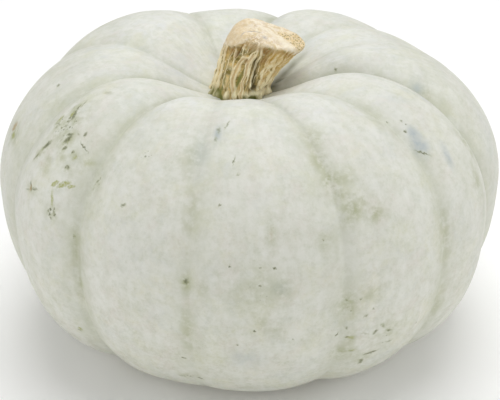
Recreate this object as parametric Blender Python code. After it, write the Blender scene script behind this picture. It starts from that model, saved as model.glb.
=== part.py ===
"""A whole ribbed winter squash with its short cut stem, standing on its blossom end.

Two pieces: the fruit, one solid with lobes, grooves, a hollow round the stem and a hollow
underneath, and the corky stem, which stands on a small flat seat at the bottom of the top hollow.
Metres, +Z up. Azimuths are in degrees from the front, -Y, and grow towards +X.
"""

import math

import bmesh
import bpy

# Body of the fruit, measured on the crests of its lobes
BODY_RADIUS = 0.140
DEPTH_SHARE = 0.97
WIDEST_HEIGHT = 0.092
UPPER_RISE = 0.0713
LOWER_DROP = 0.0934
SHOULDER_RADIUS = 0.067
UNDERSIDE_RADIUS = 0.055
UPPER_SQUARENESS = 1.95
LOWER_SQUARENESS = 2.32
CROWN_DIP = 0.0225
BLOSSOM_DIP = 0.012

# The crown, with the stem, stands a little off the middle of the body
BODY_CENTRE = (-0.0013, 0.0012)
CROWN_SHIFT = (-0.0046, -0.0050)
CROWN_SHIFT_FROM = 20.0
CROWN_SHIFT_TO = 150.0

# One row for each lobe: azimuth and depth of the groove on its left, how far its crest stands out,
# and how far that groove has turned about the axis by the time it reaches the stem
LOBES = (
    (-159.0, 0.0042, 0.0025, 1.0),
    (-112.0, 0.0036, -0.0024, 6.0),
    (-67.5, 0.0060, -0.0022, -9.0),
    (-40.0, 0.0077, -0.0027, -1.0),
    (-12.0, 0.0027, -0.0012, -0.5),
    (20.5, 0.0040, -0.0010, -6.0),
    (47.5, 0.0043, -0.0006, -5.0),
    (73.0, 0.0083, -0.0002, 12.0),
    (105.0, 0.0015, -0.0026, 1.0),
    (131.5, 0.0034, -0.0006, 3.5),
    (166.0, 0.0086, -0.0038, 5.0),
)
CREST_POWER = 2.2
GROOVE_SOFTNESS = 0.12
RIBS_FULL_RADIUS = 0.060
# Underneath, the lobes come level, so the fruit rests on a small flat spot of nearly every one
LEVEL_FROM = 65.0
LEVEL_TO = 95.0
LEVEL_SHARE = 0.7
TURN_FROM = 35.0
TURN_TO = 135.0

# Mesh of the fruit
COLUMNS_PER_LOBE = 9
UPPER_RINGS = 21
LOWER_RINGS = 20

# Flat seat for the stem, and the scar of the flower underneath
SEAT_RADIUS = 0.0185
SEAT_HEIGHT = 0.1444
SCAR_RADIUS = 0.008
SCAR_RELIEF = 0.0012

# Stem: a bent, flaring stalk with its foot on the seat and a sloping, slightly domed cut end
STEM_GAP = 0.0003
STEM_HEIGHT = 0.0303
STEM_LEAN = (0.0160, 0.0019)
STEM_LEAN_POWER = 1.3
STEM_FOOT = (0.0163, 0.0150)
STEM_TOP = (0.0210, 0.0173)
STEM_FLARE_POWER = 2.2
STEM_CUT_SLOPE = 14.5
STEM_DOME = 0.0018
STEM_EDGE = 0.0024
# The left side leans in to the cut end from this share of the height
STEM_SHOULDER = 0.0048
STEM_SHOULDER_FROM = 0.58
STEM_SHOULDER_AZIMUTH = -92.0
# The cut end rises to a blunt corner at its back left
STEM_PEAK = (-0.0120, 0.0100)
STEM_PEAK_RADIUS = 0.0160
STEM_PEAK_HEIGHT = 0.0020
KNOB_SIZE = 0.0009
KNOB_HEIGHT = 0.004

# One row for each groove down the stem: azimuth, depth, half width in degrees
STEM_GROOVES = (
    (-172, 0.0014, 7),
    (-149, 0.0018, 8),
    (-124, 0.0014, 7),
    (-100, 0.0018, 8),
    (-85, 0.0010, 5),
    (-67, 0.0012, 5),
    (-45, 0.0014, 8),
    (-16, 0.0016, 6),
    (5, 0.0026, 8),
    (27, 0.0009, 5),
    (50, 0.0014, 6),
    (71, 0.0016, 8),
    (95, 0.0014, 7),
    (119, 0.0018, 8),
    (142, 0.0014, 7),
    (165, 0.0018, 8),
)
STEM_COLUMNS = 72
STEM_SIDE_RINGS = 20
STEM_CAP_RINGS = 5

FRUIT_COLOUR = (0.617, 0.624, 0.546, 1.0)
STEM_COLOUR = (0.620, 0.500, 0.290, 1.0)


def clear_scene():
    for old in list(bpy.data.objects):
        bpy.data.objects.remove(old, do_unlink=True)


def smooth_step(value, start, end):
    t = min(max((value - start) / (end - start), 0.0), 1.0)
    return t * t * (3.0 - 2.0 * t)


def signed_power(value, power):
    return math.copysign(abs(value) ** power, value)


def section(angle):
    """Radius and height on a lobe's crest.

    The angle runs round the section: 0 is the widest point, 90 the top of the shoulder and 180 the
    axis. Below the widest point it is negative, and -180 is the axis again.
    """
    across = math.cos(math.radians(angle))
    upward = math.sin(math.radians(angle))
    above = upward > 0.0
    ring = SHOULDER_RADIUS if above else UNDERSIDE_RADIUS
    rise = UPPER_RISE if above else LOWER_DROP
    if across > 0.0:
        power = 2.0 / (UPPER_SQUARENESS if above else LOWER_SQUARENESS)
        radius = ring + (BODY_RADIUS - ring) * across**power
        return radius, WIDEST_HEIGHT + rise * signed_power(upward, power)
    dip = CROWN_DIP if above else BLOSSOM_DIP
    inner = rise - dip * 0.5 * (1.0 - math.cos(math.pi * -across))
    return ring * (1.0 + across), WIDEST_HEIGHT + math.copysign(inner, upward)


def outward(angle):
    """Direction out of the section at this angle, as (radial, vertical)."""
    step = 0.05
    radius_a, height_a = section(angle - step)
    radius_b, height_b = section(angle + step)
    along = radius_b - radius_a
    up = height_b - height_a
    length = math.hypot(along, up)
    return up / length, -along / length


def fullness(across_lobe):
    """1 on a lobe's crest and 0 in the grooves beside it, where across_lobe is -1 and 1."""
    rounded = 1.0 - abs(across_lobe) ** CREST_POWER
    soft = GROOVE_SOFTNESS
    return (math.hypot(rounded, soft) - soft) / (math.hypot(1.0, soft) - soft)


def groove_azimuth(lobe, angle):
    return lobe[0] + lobe[3] * smooth_step(angle, TURN_FROM, TURN_TO)


def fruit_point(index, across_lobe, angle):
    """A point of the skin: which lobe, where across it from -1 to 1, and where round the section."""
    lobe = LOBES[index]
    after = LOBES[(index + 1) % len(LOBES)]
    left = groove_azimuth(lobe, angle)
    right = groove_azimuth(after, angle) + (360.0 if after[0] < lobe[0] else 0.0)
    azimuth = math.radians(left + (right - left) * (across_lobe + 1.0) / 2.0)
    crest = fullness(across_lobe)
    depth = lobe[1] if across_lobe < 0.0 else after[1]
    radius, height = section(angle)
    strength = min(radius / RIBS_FULL_RADIUS, 1.0)
    stand_out = lobe[2] * (1.0 - LEVEL_SHARE * smooth_step(-angle, LEVEL_FROM, LEVEL_TO))
    offset = (stand_out * crest - depth * (1.0 - crest)) * strength
    radial, vertical = outward(angle)
    radius += offset * radial
    height += offset * vertical
    shift = smooth_step(angle, CROWN_SHIFT_FROM, CROWN_SHIFT_TO)
    x = BODY_CENTRE[0] + radius * math.sin(azimuth) + CROWN_SHIFT[0] * shift
    y = BODY_CENTRE[1] - radius * math.cos(azimuth) * DEPTH_SHARE + CROWN_SHIFT[1] * shift
    return x, y, max(height, 0.0)


def add_ring(mesh, points):
    return [mesh.verts.new(point) for point in points]


def join_rings(mesh, upper, lower):
    """Quads between two rings of the same count, facing outwards."""
    count = len(upper)
    for i in range(count):
        j = (i + 1) % count
        mesh.faces.new((upper[i], lower[i], lower[j], upper[j]))


def close_ring(mesh, ring, centre, facing_up):
    """A fan of triangles from a ring to its centre point."""
    middle = mesh.verts.new(centre)
    count = len(ring)
    for i in range(count):
        j = (i + 1) % count
        corners = (middle, ring[i], ring[j]) if facing_up else (middle, ring[j], ring[i])
        mesh.faces.new(corners)


def finish_piece(mesh, name, material):
    """Turns the bmesh into a named, smooth-shaded object with its material."""
    data = bpy.data.meshes.new(name)
    bmesh.ops.triangulate(mesh, faces=mesh.faces[:], quad_method="SHORT_EDGE")
    mesh.to_mesh(data)
    mesh.free()
    data.shade_smooth()
    data.materials.append(material)
    piece = bpy.data.objects.new(name, data)
    bpy.context.scene.collection.objects.link(piece)
    return piece


def plain_material(name, colour, roughness):
    material = bpy.data.materials.new(name)
    material.use_nodes = True
    shader = material.node_tree.nodes["Principled BSDF"]
    shader.inputs["Base Color"].default_value = colour
    shader.inputs["Roughness"].default_value = roughness
    shader.inputs["Metallic"].default_value = 0.0
    return material


def crown_centre():
    return BODY_CENTRE[0] + CROWN_SHIFT[0], BODY_CENTRE[1] + CROWN_SHIFT[1]


def fruit_ring(angle):
    ring = []
    for index in range(len(LOBES)):
        for column in range(COLUMNS_PER_LOBE):
            across_lobe = 2.0 * column / COLUMNS_PER_LOBE - 1.0
            ring.append(fruit_point(index, across_lobe, angle))
    return ring


def seat_ring():
    """The edge of the flat seat, each point at the azimuth of the column that comes up to it."""
    centre_x, centre_y = crown_centre()
    ring = []
    for x, y, _ in fruit_ring(seat_angle()):
        reach = math.hypot(x - centre_x, y - centre_y)
        ring.append(
            (
                centre_x + SEAT_RADIUS * (x - centre_x) / reach,
                centre_y + SEAT_RADIUS * (y - centre_y) / reach,
                SEAT_HEIGHT,
            )
        )
    return ring


def seat_angle():
    """Section angle at which the hollow is a little wider than the seat."""
    return math.degrees(math.acos(1.12 * SEAT_RADIUS / SHOULDER_RADIUS - 1.0))


def scar_angle(radius):
    return -math.degrees(math.acos(radius / UNDERSIDE_RADIUS - 1.0))


def scar_rings():
    """The flower's scar at the bottom of the lower hollow: a low round rim with a sunk middle."""
    rings = []
    for share, relief in ((1.0, SCAR_RELIEF), (0.6, SCAR_RELIEF), (0.4, -SCAR_RELIEF)):
        radius = SCAR_RADIUS * share
        height = section(scar_angle(SCAR_RADIUS))[1] - relief
        ring = []
        for index, lobe in enumerate(LOBES):
            after = LOBES[(index + 1) % len(LOBES)]
            span = (after[0] - lobe[0]) % 360.0
            for column in range(COLUMNS_PER_LOBE):
                azimuth = math.radians(lobe[0] + span * column / COLUMNS_PER_LOBE)
                x = BODY_CENTRE[0] + radius * math.sin(azimuth)
                y = BODY_CENTRE[1] - radius * math.cos(azimuth) * DEPTH_SHARE
                ring.append((x, y, height))
        rings.append(ring)
    return rings


def make_fruit():
    top = seat_angle()
    bottom = scar_angle(SCAR_RADIUS * 1.4)
    angles = [top * (1.0 - i / UPPER_RINGS) for i in range(UPPER_RINGS)]
    angles += [bottom * i / LOWER_RINGS for i in range(LOWER_RINGS + 1)]
    mesh = bmesh.new()
    outlines = [seat_ring()] + [fruit_ring(angle) for angle in angles] + scar_rings()
    rings = [add_ring(mesh, outline) for outline in outlines]
    for upper, lower in zip(rings, rings[1:]):
        join_rings(mesh, upper, lower)
    close_ring(mesh, rings[0], (*crown_centre(), SEAT_HEIGHT), True)
    scar_height = outlines[-1][0][2]
    close_ring(mesh, rings[-1], (*BODY_CENTRE, scar_height), False)
    return finish_piece(mesh, "fruit", plain_material("waxy skin", FRUIT_COLOUR, 0.55))


def stem_groove_depth(azimuth):
    """How far the stem's side is cut in at this azimuth, before the knobs and the cut end."""
    depth = 0.0
    for centre, deepest, half_width in STEM_GROOVES:
        away = (azimuth - centre + 180.0) % 360.0 - 180.0
        depth += deepest * math.exp(-((away / half_width) ** 2))
    return depth


def stem_axis(share):
    """Centre of the stem at a share of its height."""
    foot_x, foot_y = crown_centre()
    lean = share**STEM_LEAN_POWER
    x = foot_x + STEM_LEAN[0] * lean
    y = foot_y + STEM_LEAN[1] * lean
    return x, y, SEAT_HEIGHT + STEM_GAP + STEM_HEIGHT * share


def stem_peak(x, y):
    """How much the blunt corner raises the cut end at this place from its middle."""
    away = math.hypot(x - STEM_PEAK[0], y - STEM_PEAK[1]) / STEM_PEAK_RADIUS
    return STEM_PEAK_HEIGHT * (1.0 - smooth_step(away, 0.0, 1.0))


def stem_ring(share, inset, lift):
    """One ring: inset shrinks it in metres, and lift raises it over the sloping cut."""
    centre_x, centre_y, height = stem_axis(share)
    flare = share**STEM_FLARE_POWER
    radius_x = STEM_FOOT[0] + (STEM_TOP[0] - STEM_FOOT[0]) * flare
    radius_y = STEM_FOOT[1] + (STEM_TOP[1] - STEM_FOOT[1]) * flare
    knobs = KNOB_SIZE * (1.0 - smooth_step(height - SEAT_HEIGHT, 0.0, KNOB_HEIGHT))
    slope = math.tan(math.radians(STEM_CUT_SLOPE)) * smooth_step(share, 0.0, 1.0)
    shoulder = STEM_SHOULDER * max(share - STEM_SHOULDER_FROM, 0.0) ** 2
    shoulder = shoulder / (1.0 - STEM_SHOULDER_FROM) ** 2
    reach = (radius_x - inset) / radius_x
    ring = []
    for column in range(STEM_COLUMNS):
        azimuth = 360.0 * column / STEM_COLUMNS
        side = math.sin(math.radians(azimuth))
        leaning = max(math.cos(math.radians(azimuth - STEM_SHOULDER_AZIMUTH)), 0.0) ** 2
        cut_in = (stem_groove_depth(azimuth) + shoulder * leaning) * reach - knobs
        front = -math.cos(math.radians(azimuth))
        x = (radius_x * reach - cut_in) * side
        y = (radius_y * reach - cut_in) * front
        peak = stem_peak(x, y) * smooth_step(share, 0.0, 1.0)
        ring.append((centre_x + x, centre_y + y, height + lift + peak - slope * x))
    return ring


def stem_outlines():
    """Rings from the foot up the side, round the edge and over the cut end."""
    outlines = []
    side_end = 1.0 - STEM_EDGE / STEM_HEIGHT
    for i in range(STEM_SIDE_RINGS):
        outlines.append(stem_ring(side_end * i / (STEM_SIDE_RINGS - 1), 0.0, 0.0))
    for turn in (30.0, 60.0, 90.0):
        inset = STEM_EDGE * (1.0 - math.cos(math.radians(turn)))
        rise = STEM_EDGE * (math.sin(math.radians(turn)) - 1.0)
        outlines.append(stem_ring(1.0, inset, rise))
    for i in range(1, STEM_CAP_RINGS + 1):
        share = i / (STEM_CAP_RINGS + 1)
        inset = STEM_EDGE + (STEM_TOP[0] - STEM_EDGE) * share
        outlines.append(stem_ring(1.0, inset, STEM_DOME * math.sin(math.pi * share / 2.0)))
    return outlines


def make_stem():
    mesh = bmesh.new()
    rings = [add_ring(mesh, outline) for outline in stem_outlines()]
    for lower, upper in zip(rings, rings[1:]):
        join_rings(mesh, upper, lower)
    x, y, height = stem_axis(1.0)
    close_ring(mesh, rings[-1], (x, y, height + STEM_DOME + stem_peak(0.0, 0.0)), True)
    close_ring(mesh, rings[0], stem_axis(0.0), False)
    return finish_piece(mesh, "stem", plain_material("dry cork", STEM_COLOUR, 0.85))


clear_scene()
make_fruit()
make_stem()
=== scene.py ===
"""Looks of a pale ribbed winter squash with its short, corky cut stem, on a plain pale floor."""

import math

import bpy
import numpy as np
from mathutils import Matrix, Vector, noise
from mathutils.bvhtree import BVHTree


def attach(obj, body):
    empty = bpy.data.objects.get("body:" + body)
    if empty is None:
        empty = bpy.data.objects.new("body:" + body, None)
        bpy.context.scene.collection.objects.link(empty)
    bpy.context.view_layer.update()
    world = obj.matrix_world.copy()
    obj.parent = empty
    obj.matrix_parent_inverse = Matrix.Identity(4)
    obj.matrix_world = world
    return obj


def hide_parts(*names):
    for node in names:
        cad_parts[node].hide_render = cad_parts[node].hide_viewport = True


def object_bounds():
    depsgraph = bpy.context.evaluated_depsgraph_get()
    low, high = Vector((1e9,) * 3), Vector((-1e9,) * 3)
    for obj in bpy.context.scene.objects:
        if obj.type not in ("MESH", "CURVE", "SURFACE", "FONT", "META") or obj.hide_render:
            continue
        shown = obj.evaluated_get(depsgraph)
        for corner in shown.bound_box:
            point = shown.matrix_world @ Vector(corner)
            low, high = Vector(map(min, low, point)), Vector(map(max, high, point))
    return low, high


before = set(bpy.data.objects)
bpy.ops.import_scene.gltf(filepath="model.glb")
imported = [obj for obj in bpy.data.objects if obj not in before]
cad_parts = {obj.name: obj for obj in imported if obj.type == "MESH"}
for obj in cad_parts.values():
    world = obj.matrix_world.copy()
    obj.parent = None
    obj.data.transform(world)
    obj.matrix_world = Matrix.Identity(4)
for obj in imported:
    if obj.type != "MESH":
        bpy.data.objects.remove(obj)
cad_box = [list(corner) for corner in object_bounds()]

# Floor, light and camera
# A plain pale paper floor that turns up at its far edges, large soft lights above and on all
# sides in a white room, and a long lens looking down on the fruit from its front.
FLOOR_SIZE = 6.0
FLOOR_ROWS = 24
FLOOR_FLAT_SHARE = 0.6
FLOOR_TURN_UP = 0.8
FLOOR_COLOUR = (0.97, 0.97, 0.965, 1.0)
PAPER_GRAINS_PER_METRE = 260.0
PAPER_GRAIN_DEPTH = 0.0005
ROOM_COLOUR = (1.0, 1.0, 1.0, 1.0)
ROOM_STRENGTH = 0.28
LIGHT_AIM = Vector((0.0, 0.0, 0.08))

# Name, place and width in metres, power in watts
SOFT_LIGHTS = (
    ("overhead softbox", (0.10, 0.15, 1.50), 1.3, 13.5),
    ("left softbox", (-1.30, -0.10, 0.55), 1.0, 4.5),
    ("right softbox", (1.30, -0.10, 0.55), 1.0, 4.5),
    ("front softbox", (0.00, -1.60, 0.80), 1.0, 6.5),
    ("rear softbox", (0.00, 1.40, 0.90), 1.0, 4.5),
)
CAMERA_TARGET = Vector((0.0, 0.0012, 0.0728))
CAMERA_DISTANCE = 0.8357
CAMERA_ELEVATION = math.radians(28.12)
CAMERA_LENS = 106.4
CAMERA_SENSOR = 36.0


def flat_sheet(name, size):
    """A square sheet on the ground with its edges turned up in a wide curve."""
    edge = np.linspace(-0.5, 0.5, FLOOR_ROWS) * size
    across, along = np.meshgrid(edge, edge)
    reach = np.maximum(np.abs(across), np.abs(along)) * 2.0 / size
    rising = np.clip((reach - FLOOR_FLAT_SHARE) / (1.0 - FLOOR_FLAT_SHARE), 0.0, 1.0)
    points = np.stack([across, along, FLOOR_TURN_UP * rising**3], -1).reshape(-1, 3)
    faces = []
    for i in range(FLOOR_ROWS - 1):
        for j in range(FLOOR_ROWS - 1):
            a = i * FLOOR_ROWS + j
            faces.append((a, a + 1, a + FLOOR_ROWS + 1, a + FLOOR_ROWS))
    data = bpy.data.meshes.new(name)
    data.from_pydata([tuple(point) for point in points], [], faces)
    data.shade_smooth()
    sheet = bpy.data.objects.new(name, data)
    bpy.context.scene.collection.objects.link(sheet)
    return sheet


def new_material(name):
    """A material with nodes: returns it with its node tree and its Principled shader."""
    material = bpy.data.materials.new(name)
    material.use_nodes = True
    tree = material.node_tree
    return material, tree, tree.nodes["Principled BSDF"]


def feed(tree, socket, value):
    """Links another node's output to this input, or sets the input's own value."""
    if isinstance(value, bpy.types.NodeSocket):
        tree.links.new(value, socket)
    else:
        socket.default_value = value


def add_node(tree, kind, inputs, **settings):
    """A new node of this kind, with its inputs given by name or by number."""
    node = tree.nodes.new("ShaderNode" + kind)
    for name, value in settings.items():
        setattr(node, name, value)
    for name, value in inputs.items():
        feed(tree, node.inputs[name], value)
    return node


def set_shader(tree, shader, inputs):
    for name, value in inputs.items():
        feed(tree, shader.inputs[name], value)


def place_of(tree):
    """Where each point of the surface is, in metres."""
    return add_node(tree, "TexCoord", {}).outputs["Object"]


def bump_from(tree, height, strength, distance):
    inputs = {"Height": height, "Strength": strength, "Distance": distance}
    return add_node(tree, "Bump", inputs).outputs["Normal"]


floor = flat_sheet("floor", FLOOR_SIZE)
paper, tree, shader = new_material("matte white paper")
grain_size = {"Vector": place_of(tree), "Scale": PAPER_GRAINS_PER_METRE, "Detail": 3.0}
grain = add_node(tree, "TexNoise", grain_size)
normal = bump_from(tree, grain.outputs["Fac"], 0.04, PAPER_GRAIN_DEPTH)
paper_finish = {
    "Base Color": FLOOR_COLOUR,
    "Roughness": 0.9,
    "Specular IOR Level": 0.1,
    "Normal": normal,
}
set_shader(tree, shader, paper_finish)
floor.data.materials.append(paper)

for name, place, size, power in SOFT_LIGHTS:
    lamp = bpy.data.lights.new(name, "AREA")
    lamp.shape = "DISK"
    lamp.size = size
    lamp.energy = power
    holder = bpy.data.objects.new(name, lamp)
    holder.location = place
    holder.rotation_euler = (LIGHT_AIM - Vector(place)).to_track_quat("-Z", "Y").to_euler()
    holder.visible_camera = False
    bpy.context.scene.collection.objects.link(holder)

room = bpy.data.worlds.new("white room")
room.use_nodes = True
room.node_tree.nodes["Background"].inputs["Color"].default_value = ROOM_COLOUR
room.node_tree.nodes["Background"].inputs["Strength"].default_value = ROOM_STRENGTH
bpy.context.scene.world = room
bpy.context.scene.view_settings.view_transform = "Standard"

lens = bpy.data.cameras.new("camera")
lens.lens = CAMERA_LENS
lens.sensor_width = CAMERA_SENSOR
camera = bpy.data.objects.new("camera", lens)
back = Vector((0.0, -math.cos(CAMERA_ELEVATION), math.sin(CAMERA_ELEVATION)))
camera.location = CAMERA_TARGET + back * CAMERA_DISTANCE
camera.rotation_euler = (-back).to_track_quat("-Z", "Y").to_euler()
bpy.context.scene.collection.objects.link(camera)
bpy.context.scene.camera = camera

# The fruit
# One grown body of eleven uneven lobes with a tough, waxy, matte skin. It grew lying on its blossom
# end, so the undersides of the lobes are pressed level round a hollow with the flower's dry scar.

# Body, measured on the crests of its lobes; the crown with the stem stands a little off its middle
BODY_RADIUS = 0.140
DEPTH_SHARE = 0.97
WIDEST_HEIGHT = 0.092
UPPER_RISE = 0.0713
LOWER_DROP = 0.0934
SHOULDER_RADIUS = 0.067
UNDERSIDE_RADIUS = 0.055
UPPER_SQUARENESS = 1.95
LOWER_SQUARENESS = 2.32
CROWN_DIP = 0.0225
BLOSSOM_DIP = 0.012
BODY_CENTRE = (-0.0013, 0.0012)
CROWN_SHIFT = (-0.0046, -0.0050)
CROWN_SHIFT_FROM = 20.0
CROWN_SHIFT_TO = 150.0
SEAT_RADIUS = 0.0185

# Azimuth and depth of each lobe's left groove, the stand-out of its crest, and the groove's turn
LOBES = (
    (-159.0, 0.0042, 0.0025, 1.0),
    (-112.0, 0.0036, -0.0024, 6.0),
    (-67.5, 0.0060, -0.0022, -9.0),
    (-40.0, 0.0077, -0.0027, -1.0),
    (-12.0, 0.0027, -0.0012, -0.5),
    (20.5, 0.0040, -0.0010, -6.0),
    (47.5, 0.0043, -0.0006, -5.0),
    (73.0, 0.0083, -0.0002, 12.0),
    (105.0, 0.0015, -0.0026, 1.0),
    (131.5, 0.0034, -0.0006, 3.5),
    (166.0, 0.0086, -0.0038, 5.0),
)

# Rounding of the lobes: how full their crests are, how soft the bottoms of their grooves, and the
# distance from the axis at which the ribs are full
CREST_POWER = 2.2
GROOVE_SOFTNESS = 0.12
RIBS_FULL_RADIUS = 0.060
DEEPEST_GROOVE = 0.0086

# Angles down the section, in degrees, between which the lobes come level below, and angles up it
# between which the grooves turn near the stem
LEVEL_FROM = 65.0
LEVEL_TO = 95.0
LEVEL_SHARE = 0.7
TURN_FROM = 35.0
TURN_TO = 135.0

# Fine form of the skin: grid, lumps, wrinkles that run to the stem, and the crease of each groove
SKIN_COLUMNS_PER_LOBE = 32
SKIN_UPPER_RINGS = 140
SKIN_LOWER_RINGS = 104
LAST_RING_ANGLE = -179.0
COLUMN_CROWDING = 0.4
LUMPS = ((0.048, 0.00045), (0.016, 0.00014))
SKIN_INSET = 0.00030
WRINKLE_DEPTH = 0.00028
WRINKLES_PER_TURN = 46.0
WRINKLE_LENGTH = 60.0
WRINKLES_FROM = 30.0
WRINKLES_TO = 85.0
WRINKLE_SHARE_BELOW = 0.4
CREASE_DEPTH = 0.0007
CREASE_HALF_WIDTH = 0.09
CREASE_LEAST_SHARE = 0.25
CREASE_FROM = -85.0
CREASE_TO = -60.0

# The pieces stay this far inside the box round the solids, in metres
BOX_MARGIN = 1e-5

# Scar of the flower: a corky ring round a sunken disc with a small nub
SCAR_RADIUS = 0.0080
SCAR_RING_WIDTH = 0.0022
SCAR_RING_HEIGHT = 0.0009
SCAR_SINK = 0.0008
SCAR_NUB_RADIUS = 0.0022
SCAR_NUB_HEIGHT = 0.0016


def smooth_step(value, start, end):
    t = np.clip((value - start) / (end - start), 0.0, 1.0)
    return t * t * (3.0 - 2.0 * t)


def bell(distance, half_width):
    """1 in the middle, falling smoothly to 0 at the half width."""
    share = np.clip(np.abs(distance) / half_width, 0.0, 1.0)
    return 0.5 * (1.0 + np.cos(np.pi * share))


def section(angle):
    """Radius and height on a crest: 0 the widest point, 90 the shoulder's top, 180 the axis."""
    across = np.cos(np.radians(angle))
    upward = np.sin(np.radians(angle))
    above = upward > 0.0
    ring = np.where(above, SHOULDER_RADIUS, UNDERSIDE_RADIUS)
    rise = np.where(above, UPPER_RISE, LOWER_DROP)
    dip = np.where(above, CROWN_DIP, BLOSSOM_DIP)
    power = 2.0 / np.where(above, UPPER_SQUARENESS, LOWER_SQUARENESS)
    outside = across > 0.0
    reach = ring + (BODY_RADIUS - ring) * np.abs(across) ** power
    radius = np.where(outside, reach, ring * (1.0 + across))
    inner = rise - dip * 0.5 * (1.0 - np.cos(np.pi * np.clip(-across, 0.0, 1.0)))
    outer = rise * np.abs(upward) ** power
    return radius, WIDEST_HEIGHT + np.sign(upward) * np.where(outside, outer, inner)


def outward(angle):
    """Direction out of the section at this angle, as (radial, vertical)."""
    step = 0.05
    radius_a, height_a = section(angle - step)
    radius_b, height_b = section(angle + step)
    along = radius_b - radius_a
    up = height_b - height_a
    length = np.hypot(along, up)
    return up / length, -along / length


def fullness(across_lobe):
    """1 on a lobe's crest and 0 in the grooves beside it, where across_lobe is -1 and 1."""
    rounded = 1.0 - np.abs(across_lobe) ** CREST_POWER
    soft = GROOVE_SOFTNESS
    return (np.hypot(rounded, soft) - soft) / (math.hypot(1.0, soft) - soft)


def on_skin(azimuth, angle, offset):
    """The point at this azimuth in radians and section angle in degrees, moved out by the offset."""
    radius, height = section(angle)
    radial, vertical = outward(angle)
    shift = smooth_step(angle, CROWN_SHIFT_FROM, CROWN_SHIFT_TO)
    reach = radius + offset * radial
    x = BODY_CENTRE[0] + reach * np.sin(azimuth) + CROWN_SHIFT[0] * shift
    y = BODY_CENTRE[1] - reach * np.cos(azimuth) * DEPTH_SHARE + CROWN_SHIFT[1] * shift
    z = np.maximum(height + offset * vertical, 0.0)
    return np.stack(np.broadcast_arrays(x, y, z), -1)


def skin_form():
    """The skin as rings by columns: azimuth, section angle, place across the lobe, offset, groove.

    The columns crowd towards the grooves, and each groove turns a little on its way to the stem.
    """
    # The first ring lies under the stem, at half the radius of its seat
    top = math.degrees(math.acos(0.5 * SEAT_RADIUS / SHOULDER_RADIUS - 1.0))
    upper = np.linspace(top, 0.0, SKIN_UPPER_RINGS, endpoint=False)
    lower = np.linspace(0.0, LAST_RING_ANGLE, SKIN_LOWER_RINGS)
    angle = np.concatenate([upper, lower])[:, None]
    lobes = np.array(LOBES)
    after = np.roll(lobes, -1, axis=0)
    after[-1, 0] += 360.0
    even = np.linspace(-1.0, 1.0, SKIN_COLUMNS_PER_LOBE, endpoint=False)
    crowded = even + COLUMN_CROWDING * (np.sin(np.pi * even / 2.0) - even)
    across = np.tile(crowded, len(LOBES))
    index = np.repeat(np.arange(len(LOBES)), SKIN_COLUMNS_PER_LOBE)
    turn = smooth_step(angle, TURN_FROM, TURN_TO)
    left = lobes[index, 0] + lobes[index, 3] * turn
    right = after[index, 0] + after[index, 3] * turn
    azimuth = np.radians(left + (right - left) * (across + 1.0) / 2.0)
    crest = fullness(across)
    depth = np.where(across < 0.0, lobes[index, 1], after[index, 1])
    strength = np.clip(section(angle)[0] / RIBS_FULL_RADIUS, 0.0, 1.0)
    level = 1.0 - LEVEL_SHARE * smooth_step(-angle, LEVEL_FROM, LEVEL_TO)
    offset = (lobes[index, 2] * level * crest - depth * (1.0 - crest)) * strength
    groove = (1.0 - crest) * depth / DEEPEST_GROOVE * np.ones_like(angle)
    return azimuth, angle, across, offset, groove


def soft_noise(points, size, seed):
    """Smooth noise between about -1 and 1 at each point, with features of this size."""
    shift = Vector((seed * 7.31, seed * 3.17, seed * 5.93))
    flat = points.reshape(-1, 3) / size
    values = [noise.noise(Vector(point) + shift) for point in flat]
    return np.array(values).reshape(points.shape[:-1])


def roughness(points, height, size, seed):
    """Soft noise of this height and size at each point, in metres."""
    return height * soft_noise(points, size, seed)


def skin_relief(points, form):
    """Outward offset, in metres, of what the simple form leaves out."""
    azimuth, angle, across, _, groove = form
    relief = -SKIN_INSET * np.ones(points.shape[:2])
    for seed, (size, height) in enumerate(LUMPS):
        relief += roughness(points, height, size, seed + 1)
    turns = WRINKLES_PER_TURN / (2.0 * math.pi)
    spokes = [np.sin(azimuth) * turns, np.cos(azimuth) * turns, angle / WRINKLE_LENGTH]
    wrinkles = soft_noise(np.stack(np.broadcast_arrays(*spokes), -1), 1.0, 3)
    relief += WRINKLE_DEPTH * wrinkles * smooth_step(angle, WRINKLES_FROM, WRINKLES_TO)
    relief += WRINKLE_DEPTH * WRINKLE_SHARE_BELOW * wrinkles
    crease = bell(1.0 - np.abs(across), CREASE_HALF_WIDTH) * (CREASE_LEAST_SHARE + groove)
    relief -= CREASE_DEPTH * crease * smooth_step(angle, CREASE_FROM, CREASE_TO)
    reach = np.hypot(points[..., 0] - BODY_CENTRE[0], points[..., 1] - BODY_CENTRE[1])
    underneath = np.where(angle < -90.0, 1.0, 0.0)
    scar = SCAR_RING_HEIGHT * bell(reach - SCAR_RADIUS, SCAR_RING_WIDTH)
    scar -= SCAR_SINK * (1.0 - smooth_step(reach, SCAR_RADIUS - SCAR_RING_WIDTH, SCAR_RADIUS))
    scar += (SCAR_NUB_HEIGHT + SCAR_SINK) * bell(reach, SCAR_NUB_RADIUS)
    return relief + underneath * scar


def grid_piece(name, points, centres):
    """A mesh from rings of points joined round, with a fan to a centre at its first and last."""
    rings, columns = points.shape[:2]
    corners = [tuple(point) for point in points.reshape(-1, 3)] + [tuple(c) for c in centres]
    faces = []
    for i in range(rings - 1):
        for j in range(columns):
            k = (j + 1) % columns
            a = i * columns
            b = a + columns
            faces.append((a + j, b + j, b + k, a + k))
    first = len(corners) - 2
    last_ring = (rings - 1) * columns
    for j in range(columns):
        k = (j + 1) % columns
        faces.append((first, j, k))
        faces.append((first + 1, last_ring + k, last_ring + j))
    data = bpy.data.meshes.new(name)
    data.from_pydata(corners, [], faces)
    data.shade_smooth()
    piece = bpy.data.objects.new(name, data)
    bpy.context.scene.collection.objects.link(piece)
    return piece


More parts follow.
